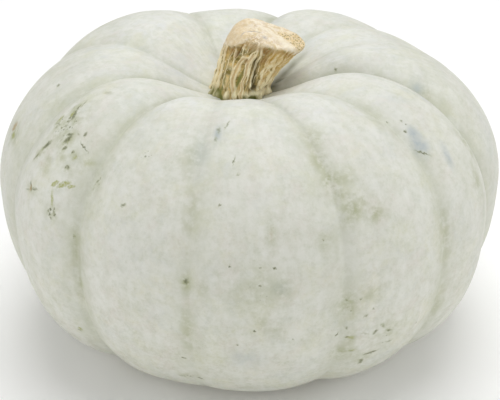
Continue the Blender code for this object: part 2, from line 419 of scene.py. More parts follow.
def store(piece, name, values):
    """Keeps a number or a vector for each point of the mesh, which a material reads by name."""
    spare = len(piece.data.vertices)
    if values.ndim == 3:
        rows = values.reshape(-1, 3)
        layer = piece.data.attributes.new(name, "FLOAT_VECTOR", "POINT")
        field = "vector"
    else:
        rows = values.reshape(-1, 1)
        layer = piece.data.attributes.new(name, "FLOAT", "POINT")
        field = "value"
    filled = np.concatenate([rows, np.repeat(rows[-1:], spare - len(rows), axis=0)])
    layer.data.foreach_set(field, filled.astype(np.float32).reshape(-1))


# Marks on the skin, each an ellipse: azimuth and section angle of its middle in degrees, half length
# up the lobe and half width in millimetres, turn of its length in degrees, and strength
GREEN_STAINS = (
    (-57.0, 53.0, 15.0, 11.0, 0.0, 0.50),
    (-59.5, 60.0, 9.0, 3.0, 25.0, 0.70),
    (-61.5, 53.0, 4.0, 5.0, 20.0, 0.75),
    (-56.5, 56.0, 5.0, 3.0, 0.0, 0.55),
    (-72.0, 57.0, 5.0, 4.0, 20.0, 0.35),
    (-59.0, 38.0, 9.0, 3.0, -20.0, 0.75),
    (-52.0, 47.5, 7.0, 3.5, 0.0, 0.80),
    (-54.5, 37.0, 4.0, 3.0, 0.0, 0.50),
    (-50.5, 41.0, 3.0, 3.0, 0.0, 0.50),
    (-47.5, 44.5, 3.0, 3.5, 0.0, 0.55),
    (-47.0, 37.5, 3.0, 3.0, 0.0, 0.55),
    (-47.5, 18.0, 4.5, 5.0, 0.0, 0.60),
    (-38.5, 38.0, 5.0, 3.5, 0.0, 0.60),
    (-56.0, 22.0, 3.0, 6.0, 0.0, 0.40),
    (-79.5, 30.0, 5.0, 9.0, 0.0, 0.90),
    (-66.0, 68.0, 6.0, 5.0, 30.0, 0.40),
    (-40.5, 5.0, 14.0, 3.0, 0.0, 0.60),
    (-40.0, -10.0, 10.0, 3.0, 0.0, 0.55),
    (-14.0, 57.0, 12.0, 6.0, 0.0, 0.35),
    (-12.5, -13.0, 16.0, 4.0, 0.0, 0.50),
    (-12.5, 4.0, 5.0, 3.0, 0.0, 0.80),
    (-12.5, 33.0, 14.0, 5.0, 0.0, 0.35),
    (-14.5, -38.0, 2.5, 6.0, 0.0, 0.55),
    (19.5, 54.0, 7.0, 4.5, 10.0, 0.65),
    (20.5, 45.5, 6.0, 5.0, 10.0, 0.80),
    (24.0, 45.0, 4.5, 6.0, 0.0, 0.50),
    (22.0, 38.0, 6.0, 4.5, 15.0, 0.55),
    (23.5, 32.0, 6.0, 5.5, 15.0, 0.75),
    (26.5, 35.0, 5.0, 5.0, 0.0, 0.45),
    (28.5, 28.0, 4.5, 5.5, 30.0, 0.65),
    (22.0, 28.0, 4.0, 4.0, 0.0, 0.50),
    (20.5, 65.0, 7.0, 7.0, 0.0, 0.45),
    (16.5, 22.0, 7.0, 5.0, 0.0, 0.35),
    (21.5, -6.0, 9.0, 5.0, 0.0, 0.75),
    (26.0, -3.0, 5.0, 6.0, 0.0, 0.50),
    (23.0, -19.0, 4.0, 4.5, 0.0, 0.55),
    (21.5, -26.0, 5.0, 6.5, 0.0, 0.80),
    (27.0, -31.0, 6.0, 6.0, 0.0, 0.45),
    (31.0, -20.0, 9.0, 8.0, 0.0, 0.30),
    (30.5, -15.5, 3.0, 4.0, 40.0, 0.50),
    (6.5, 3.0, 6.0, 6.0, 0.0, 0.50),
    (2.0, 2.0, 14.0, 17.0, 0.0, 0.32),
    (2.5, -7.0, 6.0, 5.0, 0.0, 0.45),
    (5.0, 27.0, 9.0, 2.5, 0.0, 0.45),
    (5.5, -10.0, 6.0, 4.0, 0.0, 0.35),
    (-9.0, 2.0, 5.0, 4.0, 0.0, 0.35),
    (47.5, 8.0, 18.0, 5.0, 0.0, 0.45),
    (48.5, -20.0, 10.0, 5.0, 0.0, 0.45),
    (66.0, 35.0, 10.0, 4.0, 0.0, 0.60),
    (62.0, 20.0, 14.0, 5.0, 0.0, 0.45),
    (45.0, 69.0, 5.0, 10.0, 70.0, 0.30),
    (76.0, 62.0, 4.0, 7.0, 40.0, 0.55),
    (-100.0, 15.0, 14.0, 8.0, 0.0, 0.40),
    (-150.0, 35.0, 12.0, 10.0, 0.0, 0.45),
    (150.0, 10.0, 16.0, 9.0, 0.0, 0.40),
    (118.0, 42.0, 9.0, 6.0, 20.0, 0.50),
    (96.0, -8.0, 12.0, 7.0, 0.0, 0.35),
    (-172.0, -20.0, 10.0, 12.0, 0.0, 0.40),
    (-128.0, 62.0, 9.0, 7.0, 0.0, 0.35),
)
BLUE_SCUFFS = (
    (51.0, 53.5, 5.0, 3.0, -10.0, 0.85),
    (50.5, 50.0, 8.0, 3.8, -8.0, 1.20),
    (50.0, 47.5, 5.0, 4.6, -10.0, 1.10),
    (50.0, 45.0, 3.0, 4.5, 0.0, 0.80),
    (55.5, 38.0, 7.0, 2.0, -15.0, 0.75),
    (77.5, 66.0, 3.5, 3.5, 0.0, 0.95),
    (69.0, 62.0, 4.0, 4.0, 0.0, 0.40),
    (-8.2, 70.0, 5.5, 1.8, 0.0, 1.00),
    (-12.0, 60.0, 12.0, 5.0, 0.0, 0.35),
    (-0.5, -22.0, 7.0, 9.0, 0.0, 0.35),
    (6.5, 3.5, 4.0, 4.0, 0.0, 0.30),
    (170.0, 48.0, 7.0, 5.0, 0.0, 0.80),
    (-140.0, 8.0, 6.0, 4.0, 0.0, 0.60),
)
SPECK_PATCHES = (
    (-57.0, 52.0, 15.0, 12.0, 0.0, 0.65),
    (-47.5, 18.0, 4.0, 4.0, 0.0, 0.80),
    (-38.5, 37.5, 4.0, 3.5, 0.0, 0.90),
    (-27.0, 54.5, 6.0, 2.6, -55.0, 0.90),
    (-29.5, 49.0, 6.0, 2.6, -30.0, 0.80),
    (31.0, -21.0, 9.0, 8.0, 0.0, 0.50),
    (2.0, 1.0, 12.0, 12.0, 0.0, 0.40),
    (-11.0, 64.0, 5.0, 4.0, 0.0, 0.60),
    (50.5, 59.0, 6.0, 4.0, 0.0, 0.55),
    (-80.0, 30.0, 5.0, 5.0, 0.0, 0.60),
    (-14.0, -38.0, 2.0, 8.0, 0.0, 0.70),
    (-12.5, -2.0, 12.0, 6.0, 0.0, 0.40),
    (22.0, -8.0, 14.0, 8.0, 0.0, 0.40),
    (-150.0, 35.0, 12.0, 10.0, 0.0, 0.75),
    (118.0, 42.0, 8.0, 6.0, 0.0, 0.80),
    (150.0, 10.0, 10.0, 9.0, 0.0, 0.55),
    (-172.0, -22.0, 7.0, 12.0, 0.0, 0.60),
)
# Painted shadow: dark olive laid on the skin to the right of the stem's foot, where the leaning
# stem's shadow falls in the hollow, in the same terms
PAINTED_STEM_SHADOWS = (
    (98.0, 138.0, 6.0, 5.0, 20.0, 0.95),
    (107.0, 133.0, 7.0, 4.0, 25.0, 0.85),
    (115.0, 128.0, 8.0, 3.6, 25.0, 0.75),
    (120.0, 122.0, 8.0, 3.2, 20.0, 0.65),
    (122.0, 117.0, 7.0, 2.8, 10.0, 0.45),
    (100.0, 128.0, 10.0, 5.0, 10.0, 0.35),
)
DARK_FLECKS = (
    (-62.0, 55.0, 1.5, 0.8, 30.0, 0.7),
    (-58.0, 59.0, 3.6, 1.2, 35.0, 0.9),
    (-61.0, 51.5, 3.6, 0.9, -80.0, 0.6),
    (-57.0, 53.0, 1.8, 0.7, -40.0, 0.6),
    (-58.5, 57.0, 1.4, 1.0, 0.0, 0.8),
    (-57.5, 55.5, 1.6, 0.9, -40.0, 0.6),
    (-59.5, 62.5, 3.6, 0.7, 25.0, 0.7),
    (-59.5, 65.5, 3.2, 0.5, 20.0, 0.6),
    (-61.5, 61.0, 3.2, 0.5, 20.0, 0.5),
    (-60.5, 50.0, 1.8, 1.2, 0.0, 0.5),
    (-55.5, 57.0, 2.4, 0.6, 30.0, 0.5),
    (-54.5, 47.0, 2.0, 0.8, -20.0, 0.4),
    (-52.5, 49.0, 3.2, 1.5, -10.0, 1.0),
    (-53.0, 51.0, 2.4, 0.9, -60.0, 0.9),
    (-51.5, 45.0, 1.5, 1.0, -45.0, 0.9),
    (-48.5, 54.5, 1.6, 0.8, 15.0, 0.9),
    (-50.5, 53.0, 1.8, 0.6, 80.0, 0.5),
    (-46.5, 49.5, 4.0, 0.4, 70.0, 0.9),
    (-48.5, 45.0, 0.9, 0.8, 0.0, 0.9),
    (-47.0, 44.5, 1.4, 0.8, 70.0, 0.5),
    (-58.5, 41.5, 3.4, 1.4, -25.0, 1.0),
    (-60.0, 35.0, 3.8, 0.8, -25.0, 0.7),
    (-47.5, 38.5, 1.4, 1.0, 90.0, 1.0),
    (-56.5, 23.0, 3.0, 0.8, 40.0, 0.9),
    (-55.0, 23.0, 3.4, 0.7, -75.0, 0.7),
    (-57.5, 21.0, 3.5, 0.5, -70.0, 0.5),
    (-48.0, 19.0, 0.8, 0.7, 0.0, 1.0),
    (-47.0, 18.5, 1.0, 0.6, 50.0, 1.0),
    (-48.0, 17.0, 0.8, 0.7, 0.0, 1.0),
    (-47.0, 20.0, 0.7, 0.6, 0.0, 0.9),
    (-48.5, 18.0, 0.7, 0.6, 0.0, 0.9),
    (-47.5, 15.5, 0.7, 0.6, 0.0, 0.8),
    (-46.5, 17.5, 0.8, 0.7, 0.0, 0.9),
    (-38.5, 38.5, 1.6, 0.6, -45.0, 0.8),
    (-38.0, 40.0, 0.6, 0.6, 0.0, 0.8),
    (-37.5, 37.5, 0.7, 0.5, 0.0, 0.7),
    (-39.0, 36.8, 0.7, 0.6, 0.0, 0.8),
    (-39.0, 34.5, 0.8, 0.7, 0.0, 0.6),
    (-41.0, 11.0, 0.9, 0.9, 0.0, 0.8),
    (-40.5, 4.0, 8.0, 0.8, 0.0, 0.4),
    (-40.0, -7.0, 6.0, 0.9, 0.0, 0.5),
    (-80.5, 60.5, 1.2, 1.3, 0.0, 0.7),
    (-57.5, 77.0, 1.7, 3.4, 25.0, 0.4),
    (-8.0, 72.0, 3.0, 1.1, 0.0, 0.6),
    (-8.5, 67.0, 2.6, 0.9, 10.0, 0.5),
    (-5.5, 75.5, 3.4, 0.5, -20.0, 0.7),
    (-3.0, 56.0, 2.6, 0.5, -10.0, 0.7),
    (-2.0, 50.0, 0.9, 0.9, 0.0, 0.6),
    (-28.5, 32.0, 0.9, 1.5, 25.0, 0.8),
    (-6.0, 37.5, 0.7, 0.7, 0.0, 1.0),
    (-12.5, 5.0, 2.0, 1.4, 0.0, 0.8),
    (1.5, -10.0, 0.8, 0.8, 0.0, 1.0),
    (-3.5, 13.5, 0.7, 0.7, 0.0, 0.9),
    (5.5, 12.5, 0.8, 0.8, 0.0, 0.8),
    (2.5, 5.0, 0.7, 0.7, 0.0, 0.9),
    (2.5, 13.0, 0.6, 0.6, 0.0, 0.6),
    (9.5, -14.0, 0.8, 0.8, 0.0, 0.5),
    (-2.0, -15.5, 0.8, 0.8, 0.0, 0.7),
    (21.0, 43.0, 0.7, 1.5, 0.0, 0.4),
    (16.0, 22.0, 0.8, 0.8, 0.0, 0.7),
    (21.0, -4.0, 1.0, 0.8, -30.0, 0.6),
    (24.0, -4.0, 0.7, 0.9, 0.0, 0.7),
    (27.0, -8.0, 0.8, 0.6, 0.0, 0.6),
    (25.5, -10.0, 1.2, 0.8, -50.0, 0.7),
    (21.5, -14.0, 1.3, 0.7, 35.0, 0.8),
    (19.5, -16.0, 1.3, 0.7, -50.0, 1.0),
    (22.0, -18.0, 1.3, 0.8, 80.0, 0.9),
    (23.6, -25.2, 1.3, 0.7, -90.0, 0.6),
    (28.5, -17.5, 1.8, 1.0, -35.0, 0.8),
    (26.0, -17.5, 3.6, 0.6, 75.0, 0.4),
    (30.0, -15.5, 2.2, 0.9, 35.0, 0.6),
    (32.0, -18.5, 2.2, 0.7, 70.0, 0.7),
    (33.0, -24.5, 2.1, 0.6, -90.0, 0.6),
    (29.0, -28.5, 3.6, 0.9, -80.0, 1.0),
    (27.5, -33.5, 3.0, 1.2, 10.0, 0.9),
    (40.5, -21.0, 0.9, 0.5, 0.0, 0.7),
    (49.5, 44.5, 4.2, 0.5, 40.0, 1.0),
    (49.5, 56.0, 0.9, 0.8, 0.0, 0.8),
    (51.0, 60.5, 0.7, 0.6, 0.0, 0.6),
    (47.5, 63.5, 0.7, 0.6, 0.0, 0.8),
    (-16.0, -39.5, 2.6, 0.7, 85.0, 0.6),
    (-11.5, -39.5, 1.8, 0.7, 80.0, 1.0),
    (-14.0, -25.0, 1.6, 0.6, -85.0, 0.8),
    (-44.5, -30.5, 1.6, 0.7, 60.0, 0.7),
    (85.5, 105.5, 0.8, 1.0, 0.0, 0.8),
    (128.0, 22.0, 2.4, 1.2, 20.0, 0.8),
    (-166.0, 55.0, 1.0, 3.0, 10.0, 0.7),
    (-121.0, 28.0, 1.6, 1.4, 0.0, 0.8),
    (158.0, -15.0, 1.2, 2.6, 0.0, 0.8),
)
YELLOW_FLECKS = (
    (-49.0, 30.0, 2.6, 1.1, -45.0, 1.0),
    (-46.5, 31.5, 3.8, 1.1, -50.0, 1.0),
    (-44.5, 32.0, 2.0, 1.0, -65.0, 1.0),
    (-48.3, 23.5, 4.4, 1.0, 24.0, 0.6),
    (-53.5, 33.0, 5.0, 4.5, 0.0, 0.3),
    (-62.5, 54.0, 2.4, 1.2, 0.0, 0.6),
    (-79.5, 29.0, 2.0, 3.0, 0.0, 0.6),
    (-59.0, 58.5, 2.0, 1.2, 30.0, 0.6),
    (-47.0, 43.5, 1.6, 1.4, 0.0, 0.5),
    (22.8, -18.2, 2.4, 1.0, 80.0, 0.55),
    (24.0, -25.0, 2.8, 0.9, -90.0, 0.4),
    (-44.0, -29.5, 1.5, 1.3, 0.0, 0.8),
    (-43.0, 44.0, 2.0, 5.0, 30.0, 0.4),
    (138.0, 30.0, 2.6, 1.2, -30.0, 0.8),
    (-135.0, 12.0, 3.0, 1.0, 20.0, 0.8),
)
BROWN_FLECKS = (
    (-82.0, 31.5, 3.0, 2.4, -25.0, 1.0),
    (-56.5, 22.5, 2.0, 0.9, 20.0, 0.7),
    (-56.0, 34.0, 3.0, 4.0, 0.0, 0.25),
    (5.0, 26.0, 4.0, 1.2, 0.0, 0.25),
    (-160.0, 18.0, 2.6, 1.6, 20.0, 0.8),
    (104.0, 38.0, 1.6, 2.4, 0.0, 0.8),
)


# A brush of colour reaches this deep, in millimetres, and fades at this rate from its middle
BRUSH_DEPTH = 12.0
BRUSH_FADE = 1.1

# How much of a groove's olive tint and painted shading is the same in every groove, and doesn't
# follow its depth
EVEN_GROOVE_SHARE = 0.4


def mark_frame(azimuth, angle, turn):
    """Middle of a mark and its axes: along its length, across it, and out of the skin."""
    azimuth = math.radians(azimuth)
    step = 0.2
    middle = on_skin(azimuth, angle, 0.0)
    up_lobe = Vector(on_skin(azimuth, angle + step, 0.0) - on_skin(azimuth, angle - step, 0.0))
    radial, vertical = outward(angle)
    out = Vector((math.sin(azimuth), -math.cos(azimuth), 0.0)) * float(radial)
    out = (out + Vector((0.0, 0.0, 1.0)) * float(vertical)).normalized()
    up_lobe = (up_lobe - out * up_lobe.dot(out)).normalized()
    length = Matrix.Rotation(math.radians(turn), 3, out) @ up_lobe
    return Vector(middle), length, out.cross(length), out


def painted(points, marks):
    """How strongly a soft brush with these marks has covered each point."""
    cover = np.zeros(points.shape[:-1])
    for azimuth, angle, half_length, half_width, turn, strength in marks:
        middle, length, width, out = mark_frame(azimuth, angle, turn)
        away = (points - np.array(middle)) * 1000.0
        long_way = away @ np.array(length) / half_length
        short_way = away @ np.array(width) / half_width
        deep = away @ np.array(out) / BRUSH_DEPTH
        reach = long_way**2 + short_way**2 + deep**2
        cover = np.maximum(cover, strength * np.exp(-BRUSH_FADE * reach))
    return cover


def make_skin():
    """The skin's mesh, with the masks that its material reads."""
    form = skin_form()
    azimuth, angle, across, offset, groove = form
    simple = on_skin(azimuth, angle, offset)
    points = on_skin(azimuth, angle, offset + skin_relief(simple, form))
    lowest = np.array(cad_box[0]) + BOX_MARGIN
    points = np.clip(points, lowest, np.array(cad_box[1]) - BOX_MARGIN)
    piece = grid_piece("skin", points, (points[0].mean(axis=0), points[-1].mean(axis=0)))
    even = EVEN_GROOVE_SHARE * (1.0 - fullness(across))
    store(piece, "groove", even + (1.0 - EVEN_GROOVE_SHARE) * groove)
    store(piece, "section", angle * np.ones_like(azimuth))
    spokes = [np.sin(azimuth), -np.cos(azimuth), angle / 90.0]
    store(piece, "spokes", np.stack(np.broadcast_arrays(*spokes), -1))
    store(piece, "green", painted(points, GREEN_STAINS))
    store(piece, "blue", painted(points, BLUE_SCUFFS))
    store(piece, "specks", painted(points, SPECK_PATCHES))
    # Mask of the painted shadow of the stem on the skin
    store(piece, "painted_stem_shadow", painted(points, PAINTED_STEM_SHADOWS))
    return piece


def maths(tree, operation, *values):
    node = add_node(tree, "Math", dict(enumerate(values)), operation=operation)
    return node.outputs["Value"]


def over(tree, cover, below, above):
    """Colour above laid over colour below where the cover is 1."""
    return add_node(tree, "Mix", {0: cover, 6: below, 7: above}, data_type="RGBA").outputs[2]


def between(tree, value, low, high):
    """0 at low and under, 1 at high and over, smooth between; low may be the larger."""
    inputs = {"Value": value, "From Min": low, "From Max": high}
    node = add_node(tree, "MapRange", inputs, interpolation_type="SMOOTHSTEP")
    return node.outputs["Result"]


def stored(tree, name):
    return add_node(tree, "Attribute", {}, attribute_name=name).outputs["Fac"]


def stored_vector(tree, name):
    return add_node(tree, "Attribute", {}, attribute_name=name).outputs["Vector"]


def new_group(name, inputs, output):
    """An empty node group: inputs by name and kind, one output by name and kind."""
    group = bpy.data.node_groups.new(name, "ShaderNodeTree")
    for label, kind in inputs:
        group.interface.new_socket(label, in_out="INPUT", socket_type="NodeSocket" + kind)
    group.interface.new_socket(output[0], in_out="OUTPUT", socket_type="NodeSocket" + output[1])
    return group, group.nodes.new("NodeGroupInput").outputs, group.nodes.new("NodeGroupOutput").inputs


def use_group(tree, group, inputs):
    node = tree.nodes.new("ShaderNodeGroup")
    node.node_tree = group
    for name, value in inputs.items():
        feed(tree, node.inputs[name], value)
    return node.outputs[0]


def patch_group():
    """Cloudy patches: where noise of this size, in the units of Place, is past the edge."""
    sockets = (("Place", "Vector"), ("Size", "Float"), ("Edge", "Float"), ("Softness", "Float"))
    group, given, result = new_group("cloudy patches", sockets, ("Cover", "Float"))
    scale = maths(group, "DIVIDE", 1.0, given["Size"])
    inputs = {"Vector": given["Place"], "Scale": scale, "Detail": 6.0, "Roughness": 0.66}
    cloud = add_node(group, "TexNoise", inputs).outputs["Fac"]
    low = maths(group, "SUBTRACT", given["Edge"], given["Softness"])
    high = maths(group, "ADD", given["Edge"], given["Softness"])
    group.links.new(between(group, cloud, low, high), result["Cover"])
    return group


def speck_group():
    """Small separate specks, one to a cell of this size, each drawn only where cover lets it.

    Each cell has a random draw of its own: it gets a speck where the cover is above the draw, and
    the further above, the larger the speck.
    """
    sockets = (("Place", "Vector"), ("Size", "Float"), ("Cover", "Float"))
    group, given, result = new_group("fine specks", sockets, ("Cover", "Float"))
    scale = maths(group, "DIVIDE", 1.0, given["Size"])
    cells = add_node(group, "TexVoronoi", {"Vector": given["Place"], "Scale": scale})
    draw = add_node(group, "SeparateColor", {"Color": cells.outputs["Color"]}).outputs["Red"]
    kept = maths(group, "SUBTRACT", given["Cover"], maths(group, "MULTIPLY", draw, 0.9))
    size = maths(group, "MULTIPLY", between(group, kept, 0.0, 0.6), 0.55)
    edge = maths(group, "SUBTRACT", size, cells.outputs["Distance"])
    group.links.new(between(group, edge, 0.0, 0.16), result["Cover"])
    return group


def fleck_group():
    """One soft-edged elliptical fleck at its own place on the skin."""
    sockets = (
        ("Place", "Vector"),
        ("Middle", "Vector"),
        ("Turn", "Vector"),
        ("Size", "Vector"),
        ("Strength", "Float"),
    )
    group, given, result = new_group("single fleck", sockets, ("Cover", "Float"))
    inputs = {
        "Vector": given["Place"],
        "Location": given["Middle"],
        "Rotation": given["Turn"],
        "Scale": given["Size"],
    }
    local = add_node(group, "Mapping", inputs, vector_type="TEXTURE").outputs["Vector"]
    ball = add_node(group, "TexGradient", {"Vector": local}, gradient_type="SPHERICAL")
    shaded = maths(group, "MULTIPLY", ball.outputs["Fac"], given["Strength"])
    group.links.new(shaded, result["Cover"])
    return group


# Flecks: size and shift of the noise that makes their edges ragged, and how deep they reach, in
# metres; and the half size at which a fleck fades out, in metres for each millimetre of its row
FLECK_RAG_SIZE = 0.0014
FLECK_RAG_SHIFT = 0.0024
FLECK_DEPTH = 0.020
FLECK_SPREAD = 0.0015


def shifted_place(tree, place, size, shift):
    """Place moved a little by noise, so that what is drawn with it gets a ragged edge."""
    scatter = add_node(tree, "TexNoise", {"Vector": place, "Scale": 1.0 / size, "Detail": 2.0})
    centred = add_node(
        tree, "VectorMath", {0: scatter.outputs["Color"], 1: (0.5, 0.5, 0.5)}, operation="SUBTRACT"
    )
    drift = add_node(
        tree, "VectorMath", {0: centred.outputs["Vector"], "Scale": shift}, operation="SCALE"
    )
    moved = add_node(tree, "VectorMath", {0: place, 1: drift.outputs["Vector"]}, operation="ADD")
    return moved.outputs["Vector"]


def all_flecks(tree, place, flecks):
    """The strongest cover of any fleck at each point."""
    ragged = shifted_place(tree, place, FLECK_RAG_SIZE, FLECK_RAG_SHIFT)
    cover = 0.0
    for azimuth, angle, half_length, half_width, turn, strength in flecks:
        middle, length, width, out = mark_frame(azimuth, angle, turn)
        axes = Matrix((length, width, out)).transposed().to_euler()
        inputs = {
            "Place": ragged,
            "Middle": middle,
            "Turn": tuple(axes),
            "Size": (half_length * FLECK_SPREAD, half_width * FLECK_SPREAD, FLECK_DEPTH),
            "Strength": strength,
        }
        cover = maths(tree, "MAXIMUM", cover, use_group(tree, single_fleck, inputs))
    return cover


SKIN_BASE = (0.625, 0.628, 0.555, 1.0)
SKIN_CROWN = (0.670, 0.680, 0.668, 1.0)
SKIN_LOW_TONE_AND_SHADING = (0.500, 0.498, 0.385, 1.0)
SKIN_BLOOM = (0.725, 0.728, 0.675, 1.0)
SKIN_GREENER = (0.520, 0.540, 0.430, 1.0)
SKIN_PINKER = (0.655, 0.610, 0.550, 1.0)
SKIN_YELLOWER = (0.640, 0.645, 0.465, 1.0)
SKIN_BLUER = (0.570, 0.600, 0.575, 1.0)
GROOVE_TINT_AND_SHADING = (0.460, 0.475, 0.360, 1.0)
STAIN_GREEN = (0.350, 0.370, 0.200, 1.0)
SCUFF_BLUE = (0.400, 0.450, 0.465, 1.0)
PAINTED_SHADOW_OLIVE = (0.095, 0.095, 0.032, 1.0)
SPECK_OLIVE = (0.165, 0.180, 0.085, 1.0)
FLECK_DARK = (0.125, 0.135, 0.070, 1.0)
FLECK_YELLOW = (0.330, 0.345, 0.095, 1.0)
FLECK_BROWN = (0.390, 0.290, 0.130, 1.0)
GROUND_YELLOW = (0.640, 0.585, 0.390, 1.0)
GROUND_SOIL = (0.330, 0.250, 0.150, 1.0)
SCAR_BROWN = (0.270, 0.190, 0.105, 1.0)

# Patches of the mottled skin: size in metres, and edge and softness of the noise that makes them
GREENER_PATCHES = (0.040, 0.50, 0.11)
PINKER_PATCHES = (0.013, 0.54, 0.12)
BLUER_PATCHES = (0.022, 0.57, 0.09)
YELLOWER_PATCHES = (0.017, 0.44, -0.10)
BLOOM_PATCHES = (0.0095, 0.52, 0.12)
DULL_PATCHES = (0.0042, 0.54, 0.10)
GRAIN_PATCHES = (0.0026, 0.50, 0.14)
POWDER_PATCHES = (0.0012, 0.50, 0.12)
GROOVE_PATCHES = (0.010, 0.48, 0.12)
SOIL_PATCHES = (0.009, 0.58, 0.10)
RAGGED_PATCHES = (0.0050, 0.49, 0.10)
WORN_PATCHES = (0.0014, 0.48, 0.10)
LUMPY_PATCHES = (0.0050, 0.5, 0.25)
STREAKS = (1.0, 0.50, 0.16)
STREAKS_PER_UNIT = (22.0, 22.0, 2.2)
DRIFT_SIZE = 0.02
DRIFT_SHIFT = 0.02
SPECK_SIZE = 0.0016
FINE_GRAINS_PER_METRE = 900.0
FINE_GRAIN_DEPTH = 0.00025

# Section angles, in degrees, where a colour of the skin begins and where it is full
CROWN_ANGLES = (35.0, 105.0)
LOW_TONE_AND_SHADING_ANGLES = (15.0, -35.0)
NEAR_STEM_ANGLES = (25.0, 95.0)
GROUND_ANGLES = (-55.0, -95.0)
SCAR_ANGLES = (-146.0, -151.0)

cloudy_patches = patch_group()
fine_specks = speck_group()
single_fleck = fleck_group()


def patches(tree, place, size, edge, softness):
    """Cover of cloudy patches of this size; a softness under 0 turns them inside out."""
    inputs = {"Place": place, "Size": size, "Edge": edge, "Softness": softness}
    return use_group(tree, cloudy_patches, inputs)


def scaled(tree, value, factor, base=0.0):
    """The value times the factor, plus the base."""
    return maths(tree, "MULTIPLY_ADD", value, factor, base)


def skin_colour(tree, place):
    """Pale waxy bloom, mottled and streaked, over grey-green, with its stains and specks, painted
    shading in its grooves and low down, and the painted shadow of the stem beside its foot.

    Each layer goes over the ones before it. The cover of the bloom is given out too.
    """
    spokes = stored_vector(tree, "spokes")
    section_angle = stored(tree, "section")
    colour = over(tree, between(tree, section_angle, *CROWN_ANGLES), SKIN_BASE, SKIN_CROWN)
    # Darker and yellower towards the bottom: partly yellower skin, partly painted shading of the
    # dimmer underside
    colour = over(tree, between(tree, section_angle, *LOW_TONE_AND_SHADING_ANGLES), colour, SKIN_LOW_TONE_AND_SHADING)
    greener = scaled(tree, patches(tree, place, *GREENER_PATCHES), 0.44)
    colour = over(tree, greener, colour, SKIN_GREENER)
    drifted = shifted_place(tree, place, DRIFT_SIZE, DRIFT_SHIFT)
    pinker = patches(tree, drifted, *PINKER_PATCHES)
    colour = over(tree, scaled(tree, pinker, 0.60), colour, SKIN_PINKER)
    bluer = patches(tree, drifted, *BLUER_PATCHES)
    colour = over(tree, scaled(tree, bluer, 0.55), colour, SKIN_BLUER)
    yellower = patches(tree, drifted, *YELLOWER_PATCHES)
    colour = over(tree, scaled(tree, yellower, 0.50), colour, SKIN_YELLOWER)
    bloom = scaled(tree, patches(tree, place, *BLOOM_PATCHES), 0.70)
    colour = over(tree, bloom, colour, SKIN_BLOOM)
    dull = scaled(tree, patches(tree, place, *DULL_PATCHES), 0.42)
    colour = over(tree, dull, colour, SKIN_GREENER)
    near_stem = between(tree, section_angle, *NEAR_STEM_ANGLES)
    calmer = scaled(tree, near_stem, -0.60, 1.0)
    grain = scaled(tree, patches(tree, place, *GRAIN_PATCHES), 0.42)
    colour = over(tree, maths(tree, "MULTIPLY", grain, calmer), colour, SKIN_BLOOM)
    powder = scaled(tree, patches(tree, place, *POWDER_PATCHES), 0.28)
    colour = over(tree, maths(tree, "MULTIPLY", powder, calmer), colour, SKIN_BLOOM)
    stretch = {0: spokes, 1: STREAKS_PER_UNIT}
    streak_place = add_node(tree, "VectorMath", stretch, operation="MULTIPLY").outputs["Vector"]
    streaks = patches(tree, streak_place, *STREAKS)
    streaks = maths(tree, "MULTIPLY", streaks, scaled(tree, near_stem, 0.02, 0.18))
    colour = over(tree, streaks, colour, SKIN_GREENER)
    # Olive in the grooves: partly greener skin, partly painted shading that deepens with the groove
    groove = stored(tree, "groove")
    broken = scaled(tree, patches(tree, place, *GROOVE_PATCHES), 0.32, 0.24)
    groove_tint_and_shading = maths(tree, "MULTIPLY", between(tree, groove, 0.20, 0.95), broken)
    colour = over(tree, groove_tint_and_shading, colour, GROOVE_TINT_AND_SHADING)
    ground = scaled(tree, between(tree, section_angle, *GROUND_ANGLES), 0.75)
    colour = over(tree, ground, colour, GROUND_YELLOW)
    soil = maths(tree, "MULTIPLY", ground, patches(tree, place, *SOIL_PATCHES))
    colour = over(tree, soil, colour, GROUND_SOIL)
    ragged = patches(tree, place, *RAGGED_PATCHES)
    green = maths(tree, "MULTIPLY", stored(tree, "green"), scaled(tree, ragged, 0.90, 0.25))
    colour = over(tree, green, colour, STAIN_GREEN)
    blue = maths(tree, "MULTIPLY", stored(tree, "blue"), scaled(tree, ragged, 0.45, 0.60))
    colour = over(tree, blue, colour, SCUFF_BLUE)
    speckled = {"Place": place, "Size": SPECK_SIZE, "Cover": stored(tree, "specks")}
    specks = scaled(tree, use_group(tree, fine_specks, speckled), 0.6)
    colour = over(tree, specks, colour, SPECK_OLIVE)
    worn = scaled(tree, patches(tree, place, *WORN_PATCHES), 0.45, 0.45)
    dark = all_flecks(tree, place, DARK_FLECKS)
    colour = over(tree, scaled(tree, between(tree, dark, 0.02, 0.40), 0.38), colour, STAIN_GREEN)
    core = maths(tree, "MULTIPLY", between(tree, dark, 0.18, 0.70), worn)
    colour = over(tree, core, colour, FLECK_DARK)
    for flecks, stain in ((YELLOW_FLECKS, FLECK_YELLOW), (BROWN_FLECKS, FLECK_BROWN)):
        mark = between(tree, all_flecks(tree, place, flecks), 0.04, 0.55)
        colour = over(tree, maths(tree, "MULTIPLY", mark, worn), colour, stain)
    # Painted shadow of the leaning stem on the skin beside its foot
    colour = over(tree, stored(tree, "painted_stem_shadow"), colour, PAINTED_SHADOW_OLIVE)
    scar = between(tree, section_angle, *SCAR_ANGLES)
    colour = over(tree, scar, colour, SCAR_BROWN)
    return colour, bloom


